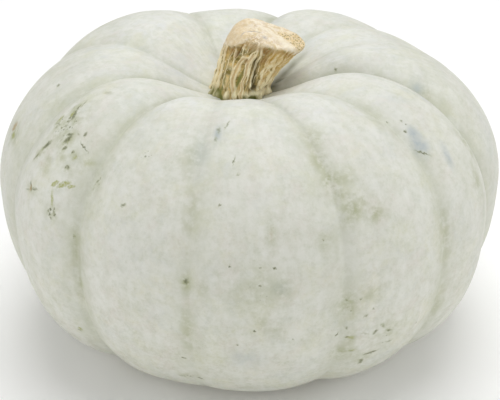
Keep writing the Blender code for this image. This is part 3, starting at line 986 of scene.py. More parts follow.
skin = make_skin()
waxy, tree, shader = new_material("pale waxy skin")
place = place_of(tree)
colour, bloom = skin_colour(tree, place)
grain_size = {"Vector": place, "Scale": FINE_GRAINS_PER_METRE, "Detail": 3.0}
fine = add_node(tree, "TexNoise", grain_size).outputs["Fac"]
height = scaled(tree, patches(tree, place, *LUMPY_PATCHES), 0.6, fine)
skin_finish = {
    "Base Color": colour,
    "Roughness": scaled(tree, bloom, 0.14, 0.50),
    "Specular IOR Level": 0.35,
    "Normal": bump_from(tree, height, 0.35, FINE_GRAIN_DEPTH),
}
set_shader(tree, shader, skin_finish)
skin.data.materials.append(waxy)
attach(skin, "root")
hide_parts("fruit")

# The stem
# A short dry stalk, cut off at a slope: corky ridges with fibrous hollows between them, their feet
# gripping the crown in rounded green-tinged knobs, and a pale cork skin healed over the cut end.

# Stalk: half widths of its foot and its cut end, lean to the right, and slope and rounding of the
# end; its left shoulder leans in, and the end rises to a blunt corner at its back left
STEM_BASE_HEIGHT = 0.1434
STEM_HEIGHT = 0.0313
STEM_LEAN = (0.0160, 0.0019)
STEM_LEAN_POWER = 1.3
STEM_FOOT = (0.0163, 0.0146)
STEM_TOP = (0.0210, 0.0173)
STEM_FLARE_POWER = 2.2
STEM_CUT_SLOPE = 14.5
STEM_DOME = 0.0018
STEM_EDGE = 0.0024
STEM_SHOULDER = 0.0048
STEM_SHOULDER_FROM = 0.58
STEM_SHOULDER_AZIMUTH = -92.0
STEM_PEAK = (-0.0120, 0.0100)
STEM_PEAK_RADIUS = 0.0160
STEM_PEAK_HEIGHT = 0.0020

# Grid of the stalk, how far its foot is sunk into the skin, and the share of the height below which
# the stalk bends down or up to meet it
STEM_COLUMNS = 440
STEM_SIDE_RINGS = 130
STEM_EDGE_RINGS = 12
STEM_CAP_RINGS = 44
STEM_SINK = 0.0005
SET_DOWN_SHARE = 0.5

# Ridges: azimuth at the foot, halfway and at the top, half width in degrees, stand-out in
# millimetres, the shares of the height between which it runs, and how far its middle is furrowed
STEM_RIDGES = (
    (-72.0, -81.0, -92.0, 5.8, 1.5, 0.00, 0.78, 0.0),
    (-59.0, -65.0, -90.0, 5.6, 1.6, 0.00, 0.84, 0.2),
    (-33.0, -50.0, -49.0, 1.5, 1.1, 0.20, 0.76, 0.0),
    (-27.0, -36.0, -54.0, 2.6, 1.0, 0.34, 0.80, 0.0),
    (-40.0, -39.0, -33.0, 1.8, 1.1, 0.62, 0.96, 0.0),
    (-30.0, -29.0, -31.0, 1.6, 1.1, 0.72, 0.96, 0.0),
    (-24.0, -23.0, -20.0, 1.4, 0.9, 0.78, 0.97, 0.0),
    (-3.0, -29.0, -2.0, 7.8, 1.8, 0.05, 0.72, 0.35),
    (-18.0, -16.0, -12.0, 2.2, 1.2, 0.70, 0.98, 0.0),
    (6.0, -10.0, -16.0, 5.2, 1.5, 0.05, 0.80, 0.40),
    (6.0, -2.0, -15.0, 2.6, 1.2, 0.28, 1.00, 0.0),
    (18.0, 6.0, -10.0, 3.0, 1.4, 0.24, 1.00, 0.0),
    (26.0, 10.5, 2.0, 1.8, 1.1, 0.20, 0.66, 0.0),
    (40.0, 20.0, 15.0, 4.2, 1.6, 0.00, 1.00, 0.0),
    (41.0, 31.0, 20.0, 9.0, 1.1, 0.00, 1.00, 0.0),
    (43.0, 41.0, 26.0, 4.2, 1.6, 0.00, 1.00, 0.0),
    (51.0, 51.0, 36.0, 4.0, 1.5, 0.05, 1.00, 0.0),
    (63.0, 61.0, 48.0, 6.0, 1.4, 0.00, 1.00, 0.2),
    (82.0, 79.0, 74.0, 8.0, 1.5, 0.00, 0.94, 0.3),
    (97.0, 98.0, 98.0, 4.0, 1.2, 0.05, 0.80, 0.0),
    (112.0, 113.0, 116.0, 7.5, 1.5, 0.00, 0.96, 0.3),
    (133.0, 132.0, 130.0, 6.0, 1.4, 0.00, 0.90, 0.0),
    (148.0, 151.0, 155.0, 6.5, 1.5, 0.00, 0.95, 0.3),
    (166.0, 168.0, 168.0, 3.5, 1.2, 0.10, 0.78, 0.0),
    (181.0, 181.0, 184.0, 7.5, 1.5, 0.00, 0.92, 0.2),
    (203.0, 200.0, 198.0, 6.0, 1.4, 0.00, 0.97, 0.0),
    (219.0, 221.0, 224.0, 5.0, 1.3, 0.00, 0.85, 0.0),
    (238.0, 240.0, 243.0, 7.5, 1.5, 0.00, 0.93, 0.3),
    (259.0, 262.0, 262.0, 6.0, 1.4, 0.00, 0.90, 0.0),
)

# A ridge wanders aside by up to so many degrees and swells by up to this share, and rises by part
# of that. It starts and ends over these shares of the height, as the lengths of both are. Its flank
# and the furrow along it are shares of its half width
RIDGE_WANDER = 4.0
RIDGE_WANDER_LENGTH = 0.14
RIDGE_SWELL = 0.7
RIDGE_SWELL_LENGTH = 0.09
RIDGE_RISE = 0.4
RIDGE_START = (-0.06, 0.03)
RIDGE_END = (-0.05, 0.04)
RIDGE_FLANK = 0.65
FURROW_HALF_WIDTH = 0.55
VALLEY_DEPTH = 0.0017

# The deepest gap: its azimuth at the foot, halfway and at the top, half width in degrees, depth in
# metres, and the shares of the height between which it runs and over which it opens and closes
DEEP_GAP = (34.0, 6.0, -16.0)
DEEP_GAP_HALF_WIDTH = 9.0
DEEP_GAP_DEPTH = 0.0012
DEEP_GAP_RUN = (0.14, 0.80)
DEEP_GAP_OPENS = 0.05
DEEP_GAP_CLOSES = 0.15

# Hollows down the side: azimuth, share of the height, half width in degrees, half height, depth in
# metres
STEM_HOLLOWS = (
    (-56.0, 0.70, 5.0, 0.09, 0.0008),
    (-38.0, 0.79, 3.4, 0.07, 0.0016),
    (-40.5, 0.70, 4.0, 0.06, 0.0018),
    (-18.5, 0.66, 4.6, 0.06, 0.0013),
    (3.0, 0.87, 8.0, 0.12, 0.0009),
    (9.0, 0.72, 7.0, 0.12, 0.0009),
    (6.5, 0.84, 1.5, 0.03, 0.0007),
    (-22.0, 0.85, 3.0, 0.07, 0.0007),
    (29.0, 0.52, 3.6, 0.08, 0.0006),
    (33.0, 0.37, 3.6, 0.09, 0.0006),
    (102.0, 0.60, 6.0, 0.15, 0.0010),
    (190.0, 0.70, 5.0, 0.14, 0.0010),
    (230.0, 0.45, 5.0, 0.18, 0.0010),
)

# Dark caves between the feet of the ridges, in the same terms
STEM_CAVES = (
    (21.0, 0.225, 15.0, 0.060, 0.0012),
    (3.0, 0.310, 4.0, 0.060, 0.0008),
    (36.0, 0.150, 9.0, 0.050, 0.0010),
    (51.0, 0.205, 7.0, 0.045, 0.0014),
)

# Knobs: azimuth, share of the height, half width in degrees, half height, stand-out in metres
STEM_KNOBS = (
    (62.0, 0.08, 8.0, 0.09, 0.0024),
    (44.0, 0.05, 9.0, 0.07, 0.0010),
    (11.0, 0.29, 3.6, 0.055, 0.0016),
    (20.0, 0.12, 27.0, 0.07, 0.0014),
    (-12.0, 0.12, 9.0, 0.10, 0.0012),
    (-31.0, 0.09, 10.0, 0.11, 0.0014),
    (-52.0, 0.05, 8.0, 0.08, 0.0010),
    (-72.0, 0.05, 8.0, 0.08, 0.0008),
    (86.0, 0.06, 9.0, 0.08, 0.0012),
    (150.0, 0.06, 9.0, 0.08, 0.0012),
    (204.0, 0.06, 8.0, 0.08, 0.0010),
    (242.0, 0.06, 9.0, 0.08, 0.0012),
)

# The foot spreads a little below this share of the height, most where a ridge comes down
FOOT_SPREAD = 0.0009
FOOT_SHARE = 0.10
FOOT_EVEN_SPREAD = 0.2
FOOT_RIDGE = 0.0015

# Tan heartwood laid bare on the side: azimuth, share of the height, half width in degrees, half
# height, strength
TAN_HEARTS = (
    (24.0, 0.84, 20.0, 0.26, 1.30),
    (31.0, 0.45, 8.0, 0.26, 1.20),
    (58.0, 0.70, 24.0, 0.40, 3.20),
    (14.0, 0.66, 9.0, 0.26, 0.50),
    (-28.0, 0.55, 6.0, 0.30, 0.45),
    (-62.0, 0.62, 10.0, 0.20, 0.45),
    (104.0, 0.50, 20.0, 0.40, 0.55),
    (170.0, 0.55, 26.0, 0.35, 0.50),
    (236.0, 0.50, 18.0, 0.40, 0.55),
)

# Paler, half corky stretches just under the cut end, in the same terms
PALE_TOPS = (
    (-20.0, 0.94, 20.0, 0.14, 1.10),
    (6.0, 0.95, 17.0, 0.10, 1.10),
)

# Green left low on the side and in nicks under the cut end: azimuth, share of the height, half
# width in degrees, half height, strength
GREEN_HOLLOWS = (
    (-15.0, 0.34, 5.5, 0.24, 1.0),
    (-46.0, 0.20, 5.0, 0.18, 0.8),
    (-62.0, 0.03, 28.0, 0.18, 1.8),
    (-40.0, 0.00, 18.0, 0.11, 1.4),
    (22.0, 0.02, 38.0, 0.13, 1.4),
    (3.0, 0.95, 2.5, 0.03, 1.0),
    (15.0, 0.95, 2.0, 0.03, 1.0),
    (27.0, 0.94, 2.5, 0.03, 1.0),
)

# Where the smooth cork of the cut end stops on the side: azimuth and share of the height
CORK_EDGE = (
    (-180.0, 0.88),
    (-120.0, 0.78),
    (-88.0, 0.68),
    (-62.0, 0.755),
    (-49.0, 0.785),
    (-40.0, 0.87),
    (-34.0, 0.955),
    (20.0, 0.975),
    (34.0, 0.950),
    (58.0, 0.860),
    (100.0, 0.88),
    (180.0, 0.88),
)

# How far that edge wanders and how softly it ends, in shares of the height, and the size of its
# noise in metres
CORK_EDGE_RAGGED = 0.030
CORK_EDGE_SOFTNESS = 0.025
CORK_EDGE_RAG_SIZE = 0.0022

# Rust under that edge: how far under it, and its half height, in shares of the height
RUST_DROP = 0.05
RUST_HALF_HEIGHT = 0.09
RUST_STRENGTH = 0.6

# The cut end, in metres from its middle: a raised band, a healed ring crack that fades out to the
# front and to the right, a worm hole, a grey patch, and a low tan lobe to the right of the band
BAND_START = (-0.0030, 0.0000)
BAND_END = (0.0115, -0.0145)
BAND_WIDTH = 0.0045
BAND_HEIGHT = 0.0006
RING_CENTRE = (-0.0082, -0.0105)
RING_RADIUS = 0.0060
RING_WIDTH = 0.0008
RING_DEPTH = 0.0003
RING_FADE_FRONT = (-0.0110, -0.0080)
RING_FADE_RIGHT = (-0.0050, -0.0030)
WORM_HOLE = (-0.0052, -0.0050)
WORM_HOLE_RADIUS = 0.0010
WORM_HOLE_DEPTH = 0.0009
GREY_PATCH = (-0.0024, -0.0100)
GREY_PATCH_RADIUS = 0.0024
RIGHT_LOBE_ASIDE = (0.0030, 0.0065)
RIGHT_LOBE_ALONG = (0.001, 0.008)
RIGHT_LOBE_SINK = 0.0006

# Shares of the height where the forms of the cut end come in
END_SHARES = (0.90, 0.97)

# Cork torn at the front edge of the cut end: azimuth and half width in degrees, and the shares of
# the height and of the end's radius where it comes in
TORN_AZIMUTH = -24.0
TORN_HALF_WIDTH = 26.0
TORN_SHARES = (0.85, 0.95)
TORN_REACH = (0.62, 0.95)

# Weathered left side of the cut end: metres to the left, and shares of the height
WEATHERED_LEFT = (0.008, 0.015)
WEATHERED_SHARES = (0.70, 0.85)

# Roughness of the stalk: height and size of its noise in metres, and the noise's seed
COARSE_FIBRES = (0.00030, 0.0009, 7)
FINE_FIBRES = (0.00022, 0.0004, 8)
SIDE_LUMPS = (0.00030, 0.0024, 11)
CORK_SWELLS = (0.00035, 0.0070, 9)
CORK_LUMPS = (0.00040, 0.0034, 12)
SMALL_LUMPS = (0.00024, 0.0013, 10)

# How much the pale stretches flatten the relief, and how the grain is drawn out up the side
PALE_FLATNESS = 0.65
GRAIN_STRETCH = np.array([1.0, 1.0, 0.14])

# Relief, in metres, at which the colour of a ridge, cave, knob or hollow is full
RIDGE_FULL = 0.0014
CAVE_FULL = 0.0009
KNOB_FULL = 0.0010
HOLLOW_FULL = 0.0008


def turned(angle, other):
    """Signed turn from the other angle to this one, in degrees from -180 to 180."""
    return (angle - other + 180.0) % 360.0 - 180.0


def ridge_line(foot, middle, top, share):
    """Azimuth of a ridge on the curve through its three given azimuths."""
    bend = 2.0 * (foot + top - 2.0 * middle)
    slope = top - foot - bend
    return foot + slope * share + bend * share**2


def along_ridge(share, index, size, seed):
    """Smooth noise that runs up one ridge, for each ring."""
    places = np.concatenate([share / size, 0.0 * share + 3.7 * index, 0.0 * share], -1)
    return soft_noise(places, 1.0, seed)[:, None]


def ridge_relief(azimuth, share):
    """Stand-out of the ridges over the valleys, in metres, and the furrows along their middles."""
    relief = np.zeros(np.broadcast_shapes(azimuth.shape, share.shape))
    furrows = np.zeros_like(relief)
    for index, ridge in enumerate(STEM_RIDGES):
        foot, middle, top, half_width, height, start, end, furrow = ridge
        line = ridge_line(foot, middle, top, share)
        line = line + RIDGE_WANDER * along_ridge(share, index, RIDGE_WANDER_LENGTH, 21)
        swell = RIDGE_SWELL * along_ridge(share, index, RIDGE_SWELL_LENGTH, 22)
        away = np.abs(turned(azimuth, line)) / (half_width * (1.0 + swell))
        begun = smooth_step(share, start + RIDGE_START[0], start + RIDGE_START[1])
        ended = smooth_step(share, end + RIDGE_END[0], end + RIDGE_END[1])
        present = begun * (1.0 - ended)
        hollowed = furrow * bell(away, FURROW_HALF_WIDTH) * present
        stands = height / 1000.0 * smooth_step(1.0 - away, 0.0, RIDGE_FLANK) * present
        stands = stands * (1.0 - hollowed) * (1.0 + RIDGE_RISE * swell)
        furrows = np.where(stands > relief, hollowed, furrows)
        relief = np.maximum(relief, stands)
    return relief, furrows


def fibre_azimuth(azimuth, share):
    """Azimuth at the foot of the fibre through each point, so that the grain follows the ridges."""
    feet = np.array([ridge[0] for ridge in STEM_RIDGES])
    rings = []
    for height in share[:, 0]:
        lines = np.array([ridge_line(*ridge[:3], height) for ridge in STEM_RIDGES])
        order = np.argsort(lines)
        lines = lines[order]
        starts = np.maximum.accumulate(feet[order])
        around = np.concatenate([lines - 360.0, lines, lines + 360.0])
        feet_around = np.concatenate([starts - 360.0, starts, starts + 360.0])
        rings.append(np.interp(azimuth[0], around, feet_around))
    return np.stack(rings)


def deep_gap(azimuth, share):
    """1 in the middle of the deepest gap between two ridges, 0 beside it and past its ends."""
    start, end = DEEP_GAP_RUN
    begun = smooth_step(share, start - DEEP_GAP_OPENS, start)
    gap = bell(turned(azimuth, ridge_line(*DEEP_GAP, share)), DEEP_GAP_HALF_WIDTH) * begun
    return gap * (1.0 - smooth_step(share, end - DEEP_GAP_CLOSES, end))


def spots(azimuth, share, places):
    """Sum of round bumps, or of round patches of colour, at these places on the stem's side."""
    total = np.zeros(np.broadcast_shapes(azimuth.shape, share.shape))
    for middle, height_share, half_width, half_height, depth in places:
        away = np.hypot(turned(azimuth, middle) / half_width, (share - height_share) / half_height)
        total = total + depth * bell(away, 1.0) ** 0.7
    return total


def crown_centre():
    """Middle of the crown, where the stem stands, in metres."""
    return BODY_CENTRE[0] + CROWN_SHIFT[0], BODY_CENTRE[1] + CROWN_SHIFT[1]


# The crown of the fruit is above the first height, and everything is below the second
CROWN_ABOVE = 0.12
HIGH_OVER = 0.3


def skin_heights(x, y):
    """Height of the skin under each of these points."""
    corners = [vertex.co for vertex in skin.data.vertices]
    crown = [polygon for polygon in skin.data.polygons if polygon.center.z > CROWN_ABOVE]
    skin_tree = BVHTree.FromPolygons(corners, [tuple(polygon.vertices) for polygon in crown])
    heights = []
    for point in zip(x, y):
        hit = skin_tree.ray_cast(Vector((*point, HIGH_OVER)), Vector((0.0, 0.0, -1.0)))
        heights.append(hit[0].z)
    return np.array(heights)


def unrolled(azimuth, share):
    """Places on an upright drum as wide as the stem, in metres."""
    radius = STEM_FOOT[0]
    parts = [
        radius * np.sin(np.radians(azimuth)),
        radius * np.cos(np.radians(azimuth)),
        STEM_HEIGHT * share,
    ]
    return np.stack(np.broadcast_arrays(*parts), -1)


def stem_rows():
    """Rings from the foot up the side, over the edge and in to the middle of the cut end.

    For each ring: share of the height, inset, share of the cap's radius, and tilt of the surface.
    """
    side_end = 1.0 - STEM_EDGE / STEM_HEIGHT
    side = np.linspace(0.0, side_end, STEM_SIDE_RINGS)
    tilt = np.radians(np.linspace(0.0, 90.0, STEM_EDGE_RINGS + 1))[1:]
    edge = side_end + (1.0 - side_end) * np.sin(tilt)
    cap = np.linspace(1.0, 0.0, STEM_CAP_RINGS, endpoint=False)[1:]
    share = np.concatenate([side, edge, np.ones_like(cap)])
    inset = np.concatenate([0.0 * side, STEM_EDGE * (1.0 - np.cos(tilt)), STEM_EDGE + 0.0 * cap])
    reach = np.concatenate([np.ones_like(side), np.ones_like(edge), cap])
    tilt = np.concatenate([0.0 * side, tilt, np.full_like(cap, math.pi / 2.0)])
    return share[:, None], inset[:, None], reach[:, None], tilt[:, None]


def cap_place(azimuth, share, inset, reach):
    """Place of each point from the stem's own middle line, in metres."""
    side = np.sin(np.radians(azimuth))
    flare = share**STEM_FLARE_POWER
    late = np.clip((share - STEM_SHOULDER_FROM) / (1.0 - STEM_SHOULDER_FROM), 0.0, 1.0)
    leaning = np.clip(np.cos(np.radians(azimuth - STEM_SHOULDER_AZIMUTH)), 0.0, 1.0) ** 2
    inset = inset + STEM_SHOULDER * late**2 * leaning
    radius_x = (STEM_FOOT[0] + (STEM_TOP[0] - STEM_FOOT[0]) * flare - inset) * reach
    radius_y = (STEM_FOOT[1] + (STEM_TOP[1] - STEM_FOOT[1]) * flare - inset) * reach
    return radius_x * side, -radius_y * np.cos(np.radians(azimuth))


def right_lobe(x, y):
    """1 on the low tan part of the cut end, to the right of the raised band."""
    run = Vector(BAND_END) - Vector(BAND_START)
    run.normalize()
    along = (x - BAND_START[0]) * run.x + (y - BAND_START[1]) * run.y
    aside = -(x - BAND_START[0]) * run.y + (y - BAND_START[1]) * run.x
    return smooth_step(aside, *RIGHT_LOBE_ASIDE) * smooth_step(along, *RIGHT_LOBE_ALONG)


def stem_peak(x, y):
    """How much the blunt back-left corner raises the cut end at this place from its middle."""
    away = np.hypot(x - STEM_PEAK[0], y - STEM_PEAK[1]) / STEM_PEAK_RADIUS
    return STEM_PEAK_HEIGHT * (1.0 - smooth_step(away, 0.0, 1.0))


def cut_end_relief(x, y):
    """Outward relief of the cut end, and masks of its worm hole, grey crack and raised band."""
    start = np.array(BAND_START)
    run = np.array(BAND_END) - start
    along = np.clip(((x - start[0]) * run[0] + (y - start[1]) * run[1]) / (run @ run), 0.0, 1.0)
    from_band = np.hypot(x - start[0] - along * run[0], y - start[1] - along * run[1])
    from_ring = np.abs(np.hypot(x - RING_CENTRE[0], y - RING_CENTRE[1]) - RING_RADIUS)
    crack = bell(from_ring, RING_WIDTH) * smooth_step(y, *RING_FADE_FRONT)
    crack = crack * (1.0 - smooth_step(x, *RING_FADE_RIGHT))
    hole = bell(np.hypot(x - WORM_HOLE[0], y - WORM_HOLE[1]), WORM_HOLE_RADIUS)
    patch = bell(np.hypot(x - GREY_PATCH[0], y - GREY_PATCH[1]), GREY_PATCH_RADIUS)
    band = bell(from_band, BAND_WIDTH)
    relief = BAND_HEIGHT * band - RIGHT_LOBE_SINK * right_lobe(x, y)
    relief = relief - RING_DEPTH * crack - WORM_HOLE_DEPTH * hole
    return relief, hole, np.maximum(0.9 * crack, patch), band


def cork_cover(azimuth, share, drum):
    """1 on the smooth cork of the cut end, and 1 on the rusty fibres just under its ragged edge."""
    cork_azimuths, cork_shares = zip(*CORK_EDGE)
    edge = np.interp(azimuth, cork_azimuths, cork_shares)
    ragged = share + CORK_EDGE_RAGGED * soft_noise(drum, CORK_EDGE_RAG_SIZE, 6)
    cork = smooth_step(ragged, edge - CORK_EDGE_SOFTNESS, edge + CORK_EDGE_SOFTNESS)
    under_cork = bell(share - edge + RUST_DROP, RUST_HALF_HEIGHT) * (1.0 - cork)
    return cork, under_cork


def side_forms(azimuth, share, drum):
    """What shapes and colours the side of the stem, one field each."""
    ridges, furrows = ridge_relief(azimuth, share)
    cork, under_cork = cork_cover(azimuth, share, drum)
    return {
        "ridges": ridges,
        "furrows": furrows,
        "hollows": spots(azimuth, share, STEM_HOLLOWS),
        "caves": spots(azimuth, share, STEM_CAVES),
        "knobs": spots(azimuth, share, STEM_KNOBS),
        "gap": deep_gap(azimuth, share),
        "pale": np.clip(spots(azimuth, share, PALE_TOPS), 0.0, 1.0),
        "cork": cork,
        "under cork": under_cork,
    }


def side_relief(share, drum, grain, side):
    """Outward relief, in metres, of the ridged side and of the cork over its top."""
    valleys = VALLEY_DEPTH + DEEP_GAP_DEPTH * side["gap"] - side["ridges"]
    relief = -np.maximum(valleys, 0.0) - side["hollows"]
    relief = relief * (1.0 - PALE_FLATNESS * side["pale"])
    relief += roughness(grain, *COARSE_FIBRES) + roughness(grain, *FINE_FIBRES)
    relief += roughness(drum, *SIDE_LUMPS)
    cork = side["cork"]
    relief = relief * (1.0 - cork) + cork * roughness(drum, *CORK_SWELLS)
    relief += roughness(drum, *SMALL_LUMPS) + cork * roughness(drum, *CORK_LUMPS)
    foot = 1.0 - smooth_step(share, 0.0, FOOT_SHARE)
    spread = FOOT_SPREAD * foot * (FOOT_EVEN_SPREAD + side["ridges"] / FOOT_RIDGE)
    return relief + spread + side["knobs"] - side["caves"]


def stem_points(x, y, rise, share):
    """The leaning stem with its sloping end, set down on the skin, from places round its middle."""
    grown = smooth_step(share, 0.0, 1.0)
    rise = rise + stem_peak(x, y) * grown
    slope = math.tan(math.radians(STEM_CUT_SLOPE)) * grown
    lean = share**STEM_LEAN_POWER
    middle_x, middle_y = crown_centre()
    points_x = middle_x + STEM_LEAN[0] * lean + x
    points_y = middle_y + STEM_LEAN[1] * lean + y
    set_down = skin_heights(points_x[0], points_y[0]) - STEM_SINK - STEM_BASE_HEIGHT
    set_down = set_down * (1.0 - smooth_step(share, 0.0, SET_DOWN_SHARE))
    points_z = STEM_BASE_HEIGHT + rise - slope * x + set_down
    points_z = np.minimum(points_z, cad_box[1][2] - BOX_MARGIN)
    return np.stack(np.broadcast_arrays(points_x, points_y, points_z), -1)


def make_stem():
    """The stem's mesh, with the masks and the grain that its material reads."""
    azimuth = np.linspace(-180.0, 180.0, STEM_COLUMNS, endpoint=False)[None, :]
    share, inset, reach, tilt = stem_rows()
    inward = np.concatenate([reach, reach, 1.0 + 0.0 * reach], -1)[:, None]
    drum = unrolled(azimuth, share) * inward
    grain = unrolled(fibre_azimuth(azimuth, share), share) * inward * GRAIN_STRETCH
    side = side_forms(azimuth, share, drum)
    x, y = cap_place(azimuth, share, inset, reach)
    end_relief, hole, grey, band = cut_end_relief(x, y)
    on_end = smooth_step(share, *END_SHARES)
    relief = side_relief(share, drum, grain, side) + on_end * end_relief
    x = x + relief * np.cos(tilt) * np.sin(np.radians(azimuth))
    y = y - relief * np.cos(tilt) * np.cos(np.radians(azimuth))
    rise = STEM_HEIGHT * share + STEM_DOME * (1.0 - reach**2) + relief * np.sin(tilt)
    points = stem_points(x, y, rise, share)
    piece = grid_piece("stem-cork", points[::-1], (points[-1].mean(axis=0), points[0].mean(axis=0)))
    rust = side["hollows"] / HOLLOW_FULL + RUST_STRENGTH * side["under cork"]
    torn = bell(turned(azimuth, TORN_AZIMUTH), TORN_HALF_WIDTH) * smooth_step(share, *TORN_SHARES)
    fields = {
        "cork": side["cork"],
        "ridge": np.clip(side["ridges"] / RIDGE_FULL, 0.0, 1.0),
        "furrow": side["furrows"],
        "gap": np.maximum(side["gap"], np.clip(side["caves"] / CAVE_FULL, 0.0, 1.0)),
        "knob": np.clip(side["knobs"] / KNOB_FULL, 0.0, 1.0),
        "rust": np.clip(rust, 0.0, 1.0),
        "green": np.clip(spots(azimuth, share, GREEN_HOLLOWS), 0.0, 1.0),
        "hole": hole * on_end,
        "tan": right_lobe(x, y) * on_end,
        "grey": grey * on_end,
        "band": band * on_end,
        "heart": np.clip(spots(azimuth, share, TAN_HEARTS), 0.0, 1.0),
        "pale": side["pale"],
        "weathered": smooth_step(-x, *WEATHERED_LEFT) * smooth_step(share, *WEATHERED_SHARES),
        "torn": torn * smooth_step(reach, *TORN_REACH),
        "grain": grain,
    }
    for name, values in fields.items():
        store(piece, name, values[::-1])
    return piece


CORK_CREAM = (0.700, 0.575, 0.370, 1.0)
CORK_PALE = (0.870, 0.790, 0.630, 1.0)
CORK_WEATHERED = (0.690, 0.545, 0.330, 1.0)
CORK_TAN = (0.720, 0.555, 0.290, 1.0)
CORK_LILAC = (0.720, 0.620, 0.550, 1.0)
CORK_GREY = (0.460, 0.420, 0.390, 1.0)
CORK_CRACK = (0.400, 0.270, 0.115, 1.0)
RIDGE_CREAM = (0.950, 0.870, 0.620, 1.0)
RIDGE_SHADE = (0.740, 0.590, 0.320, 1.0)
FURROW_TAN = (0.690, 0.530, 0.300, 1.0)
SIDE_TAN = (0.700, 0.510, 0.205, 1.0)
SIDE_OLIVE = (0.240, 0.190, 0.050, 1.0)
GAP_DARK_AND_SHADOW = (0.090, 0.075, 0.030, 1.0)
HEART_TAN = (0.570, 0.370, 0.095, 1.0)
RUST_BROWN = (0.400, 0.235, 0.080, 1.0)
KNOB_CREAM = (0.950, 0.880, 0.620, 1.0)
FOOT_GREEN = (0.200, 0.215, 0.055, 1.0)
PIT_OLIVE = (0.240, 0.190, 0.075, 1.0)

# Patches of the fibres and the cork: size in metres, and edge and softness of their noise
FIBRE_PATCHES = (0.00062, 0.50, 0.09)
THREAD_PATCHES = (0.00036, 0.52, 0.08)
LUMP_PATCHES = (0.0022, 0.50, 0.12)
PALE_CORK_PATCHES = (0.0034, 0.47, 0.07)
LILAC_PATCHES = (0.0030, 0.54, 0.10)
DASH_PATCHES = (0.0011, 0.56, 0.06)
TORN_PATCHES = (0.0013, 0.48, 0.06)

# Specks of the stem: size in metres, and how many of them show
PALE_CHIPS = {"Size": 0.0012, "Cover": 0.45}
BROWN_SPECKS = {"Size": 0.0010, "Cover": 0.30}
PIT_SIZE = 0.0010
CORK_GRAINS_PER_METRE = 1600.0
CORK_GRAIN_DEPTH = 0.0002


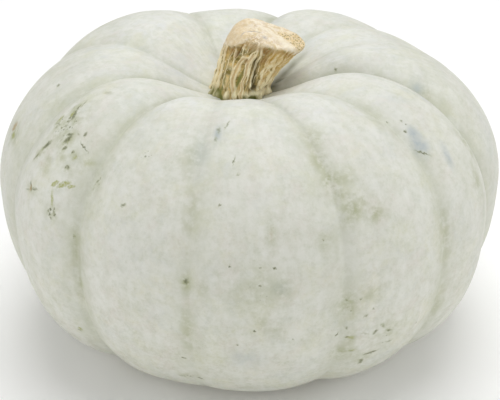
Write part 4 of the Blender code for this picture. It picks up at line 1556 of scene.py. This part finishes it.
def stem_colour(tree, place):
    """Cream ridges over olive and tan fibres, rusty hollows, painted shadow over dark fibres in the
    deep gap and caves, a green foot and a pale cork end.

    Each layer goes over the ones before it. The cover of the threads is given out too.
    """
    grain_place = stored_vector(tree, "grain")
    fibres = patches(tree, grain_place, *FIBRE_PATCHES)
    threads = patches(tree, grain_place, *THREAD_PATCHES)
    lumps = patches(tree, place, *LUMP_PATCHES)
    valley = over(tree, fibres, SIDE_OLIVE, SIDE_TAN)
    valley = over(tree, scaled(tree, threads, 0.35), valley, RIDGE_CREAM)
    chips = use_group(tree, fine_specks, {"Place": place, **PALE_CHIPS})
    valley = over(tree, scaled(tree, chips, 0.80), valley, KNOB_CREAM)
    crest = over(tree, scaled(tree, threads, 0.45, 0.55), RIDGE_SHADE, RIDGE_CREAM)
    crest = over(tree, scaled(tree, lumps, 0.25), crest, RIDGE_SHADE)
    brown = use_group(tree, fine_specks, {"Place": place, **BROWN_SPECKS})
    crest = over(tree, scaled(tree, brown, 0.70), crest, RUST_BROWN)
    crest = over(tree, between(tree, stored(tree, "furrow"), 0.08, 0.30), crest, FURROW_TAN)
    ridge = between(tree, stored(tree, "ridge"), 0.35, 0.75)
    colour = over(tree, ridge, valley, crest)
    heart = maths(tree, "MULTIPLY", stored(tree, "heart"), scaled(tree, threads, -0.50, 1.0))
    heart = maths(tree, "MULTIPLY", heart, scaled(tree, ridge, -0.30, 1.0))
    colour = over(tree, heart, colour, HEART_TAN)
    # Dark fibres and painted shadow in the deep gap and the caves between the ridges' feet
    dark = maths(tree, "MULTIPLY", stored(tree, "gap"), scaled(tree, ridge, -0.55, 0.85))
    colour = over(tree, dark, colour, GAP_DARK_AND_SHADOW)
    half_cork = maths(tree, "MULTIPLY", stored(tree, "pale"), scaled(tree, fibres, 0.5, 0.45))
    colour = over(tree, half_cork, colour, CORK_CREAM)
    rust = maths(tree, "MULTIPLY", stored(tree, "rust"), scaled(tree, threads, -0.5, 0.9))
    colour = over(tree, rust, colour, RUST_BROWN)
    knob = maths(tree, "MULTIPLY", stored(tree, "knob"), scaled(tree, lumps, -0.25, 0.95))
    colour = over(tree, knob, colour, KNOB_CREAM)
    flats = scaled(tree, maths(tree, "MAXIMUM", ridge, stored(tree, "knob")), -0.50, 1.0)
    green = maths(tree, "MULTIPLY", stored(tree, "green"), flats)
    colour = over(tree, scaled(tree, green, 0.95), colour, FOOT_GREEN)
    end = over(tree, patches(tree, place, *PALE_CORK_PATCHES), CORK_CREAM, CORK_PALE)
    lilac = scaled(tree, patches(tree, place, *LILAC_PATCHES), 0.45)
    end = over(tree, lilac, end, CORK_LILAC)
    dashes = patches(tree, place, *DASH_PATCHES)
    end = over(tree, scaled(tree, dashes, 0.65), end, CORK_TAN)
    end = over(tree, scaled(tree, stored(tree, "band"), 0.60), end, CORK_PALE)
    weathered = maths(tree, "MULTIPLY", stored(tree, "weathered"), scaled(tree, lumps, 0.4, 0.5))
    end = over(tree, weathered, end, CORK_WEATHERED)
    torn = maths(tree, "MULTIPLY", stored(tree, "torn"), patches(tree, place, *TORN_PATCHES))
    end = over(tree, scaled(tree, torn, 0.7), end, CORK_CRACK)
    right_part = stored(tree, "tan")
    tan = maths(tree, "MULTIPLY", right_part, scaled(tree, lumps, 0.5, 0.45))
    end = over(tree, tan, end, CORK_TAN)
    pitted = {"Place": place, "Size": PIT_SIZE, "Cover": scaled(tree, right_part, 0.95)}
    end = over(tree, scaled(tree, use_group(tree, fine_specks, pitted), 0.85), end, PIT_OLIVE)
    grey = maths(tree, "MULTIPLY", stored(tree, "grey"), scaled(tree, dashes, 0.20, 0.75))
    end = over(tree, grey, end, CORK_GREY)
    end = over(tree, scaled(tree, stored(tree, "hole"), 0.95), end, PIT_OLIVE)
    return over(tree, stored(tree, "cork"), colour, end), threads


stem = make_stem()
dry_cork, tree, shader = new_material("dry cork")
place = place_of(tree)
colour, threads = stem_colour(tree, place)
grain_size = {"Vector": place, "Scale": CORK_GRAINS_PER_METRE, "Detail": 3.0}
fine = add_node(tree, "TexNoise", grain_size).outputs["Fac"]
cork_finish = {
    "Base Color": colour,
    "Roughness": scaled(tree, threads, -0.10, 0.85),
    "Specular IOR Level": 0.25,
    "Normal": bump_from(tree, scaled(tree, threads, 0.6, fine), 0.5, CORK_GRAIN_DEPTH),
}
set_shader(tree, shader, cork_finish)
stem.data.materials.append(dry_cork)
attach(stem, "root")
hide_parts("stem")
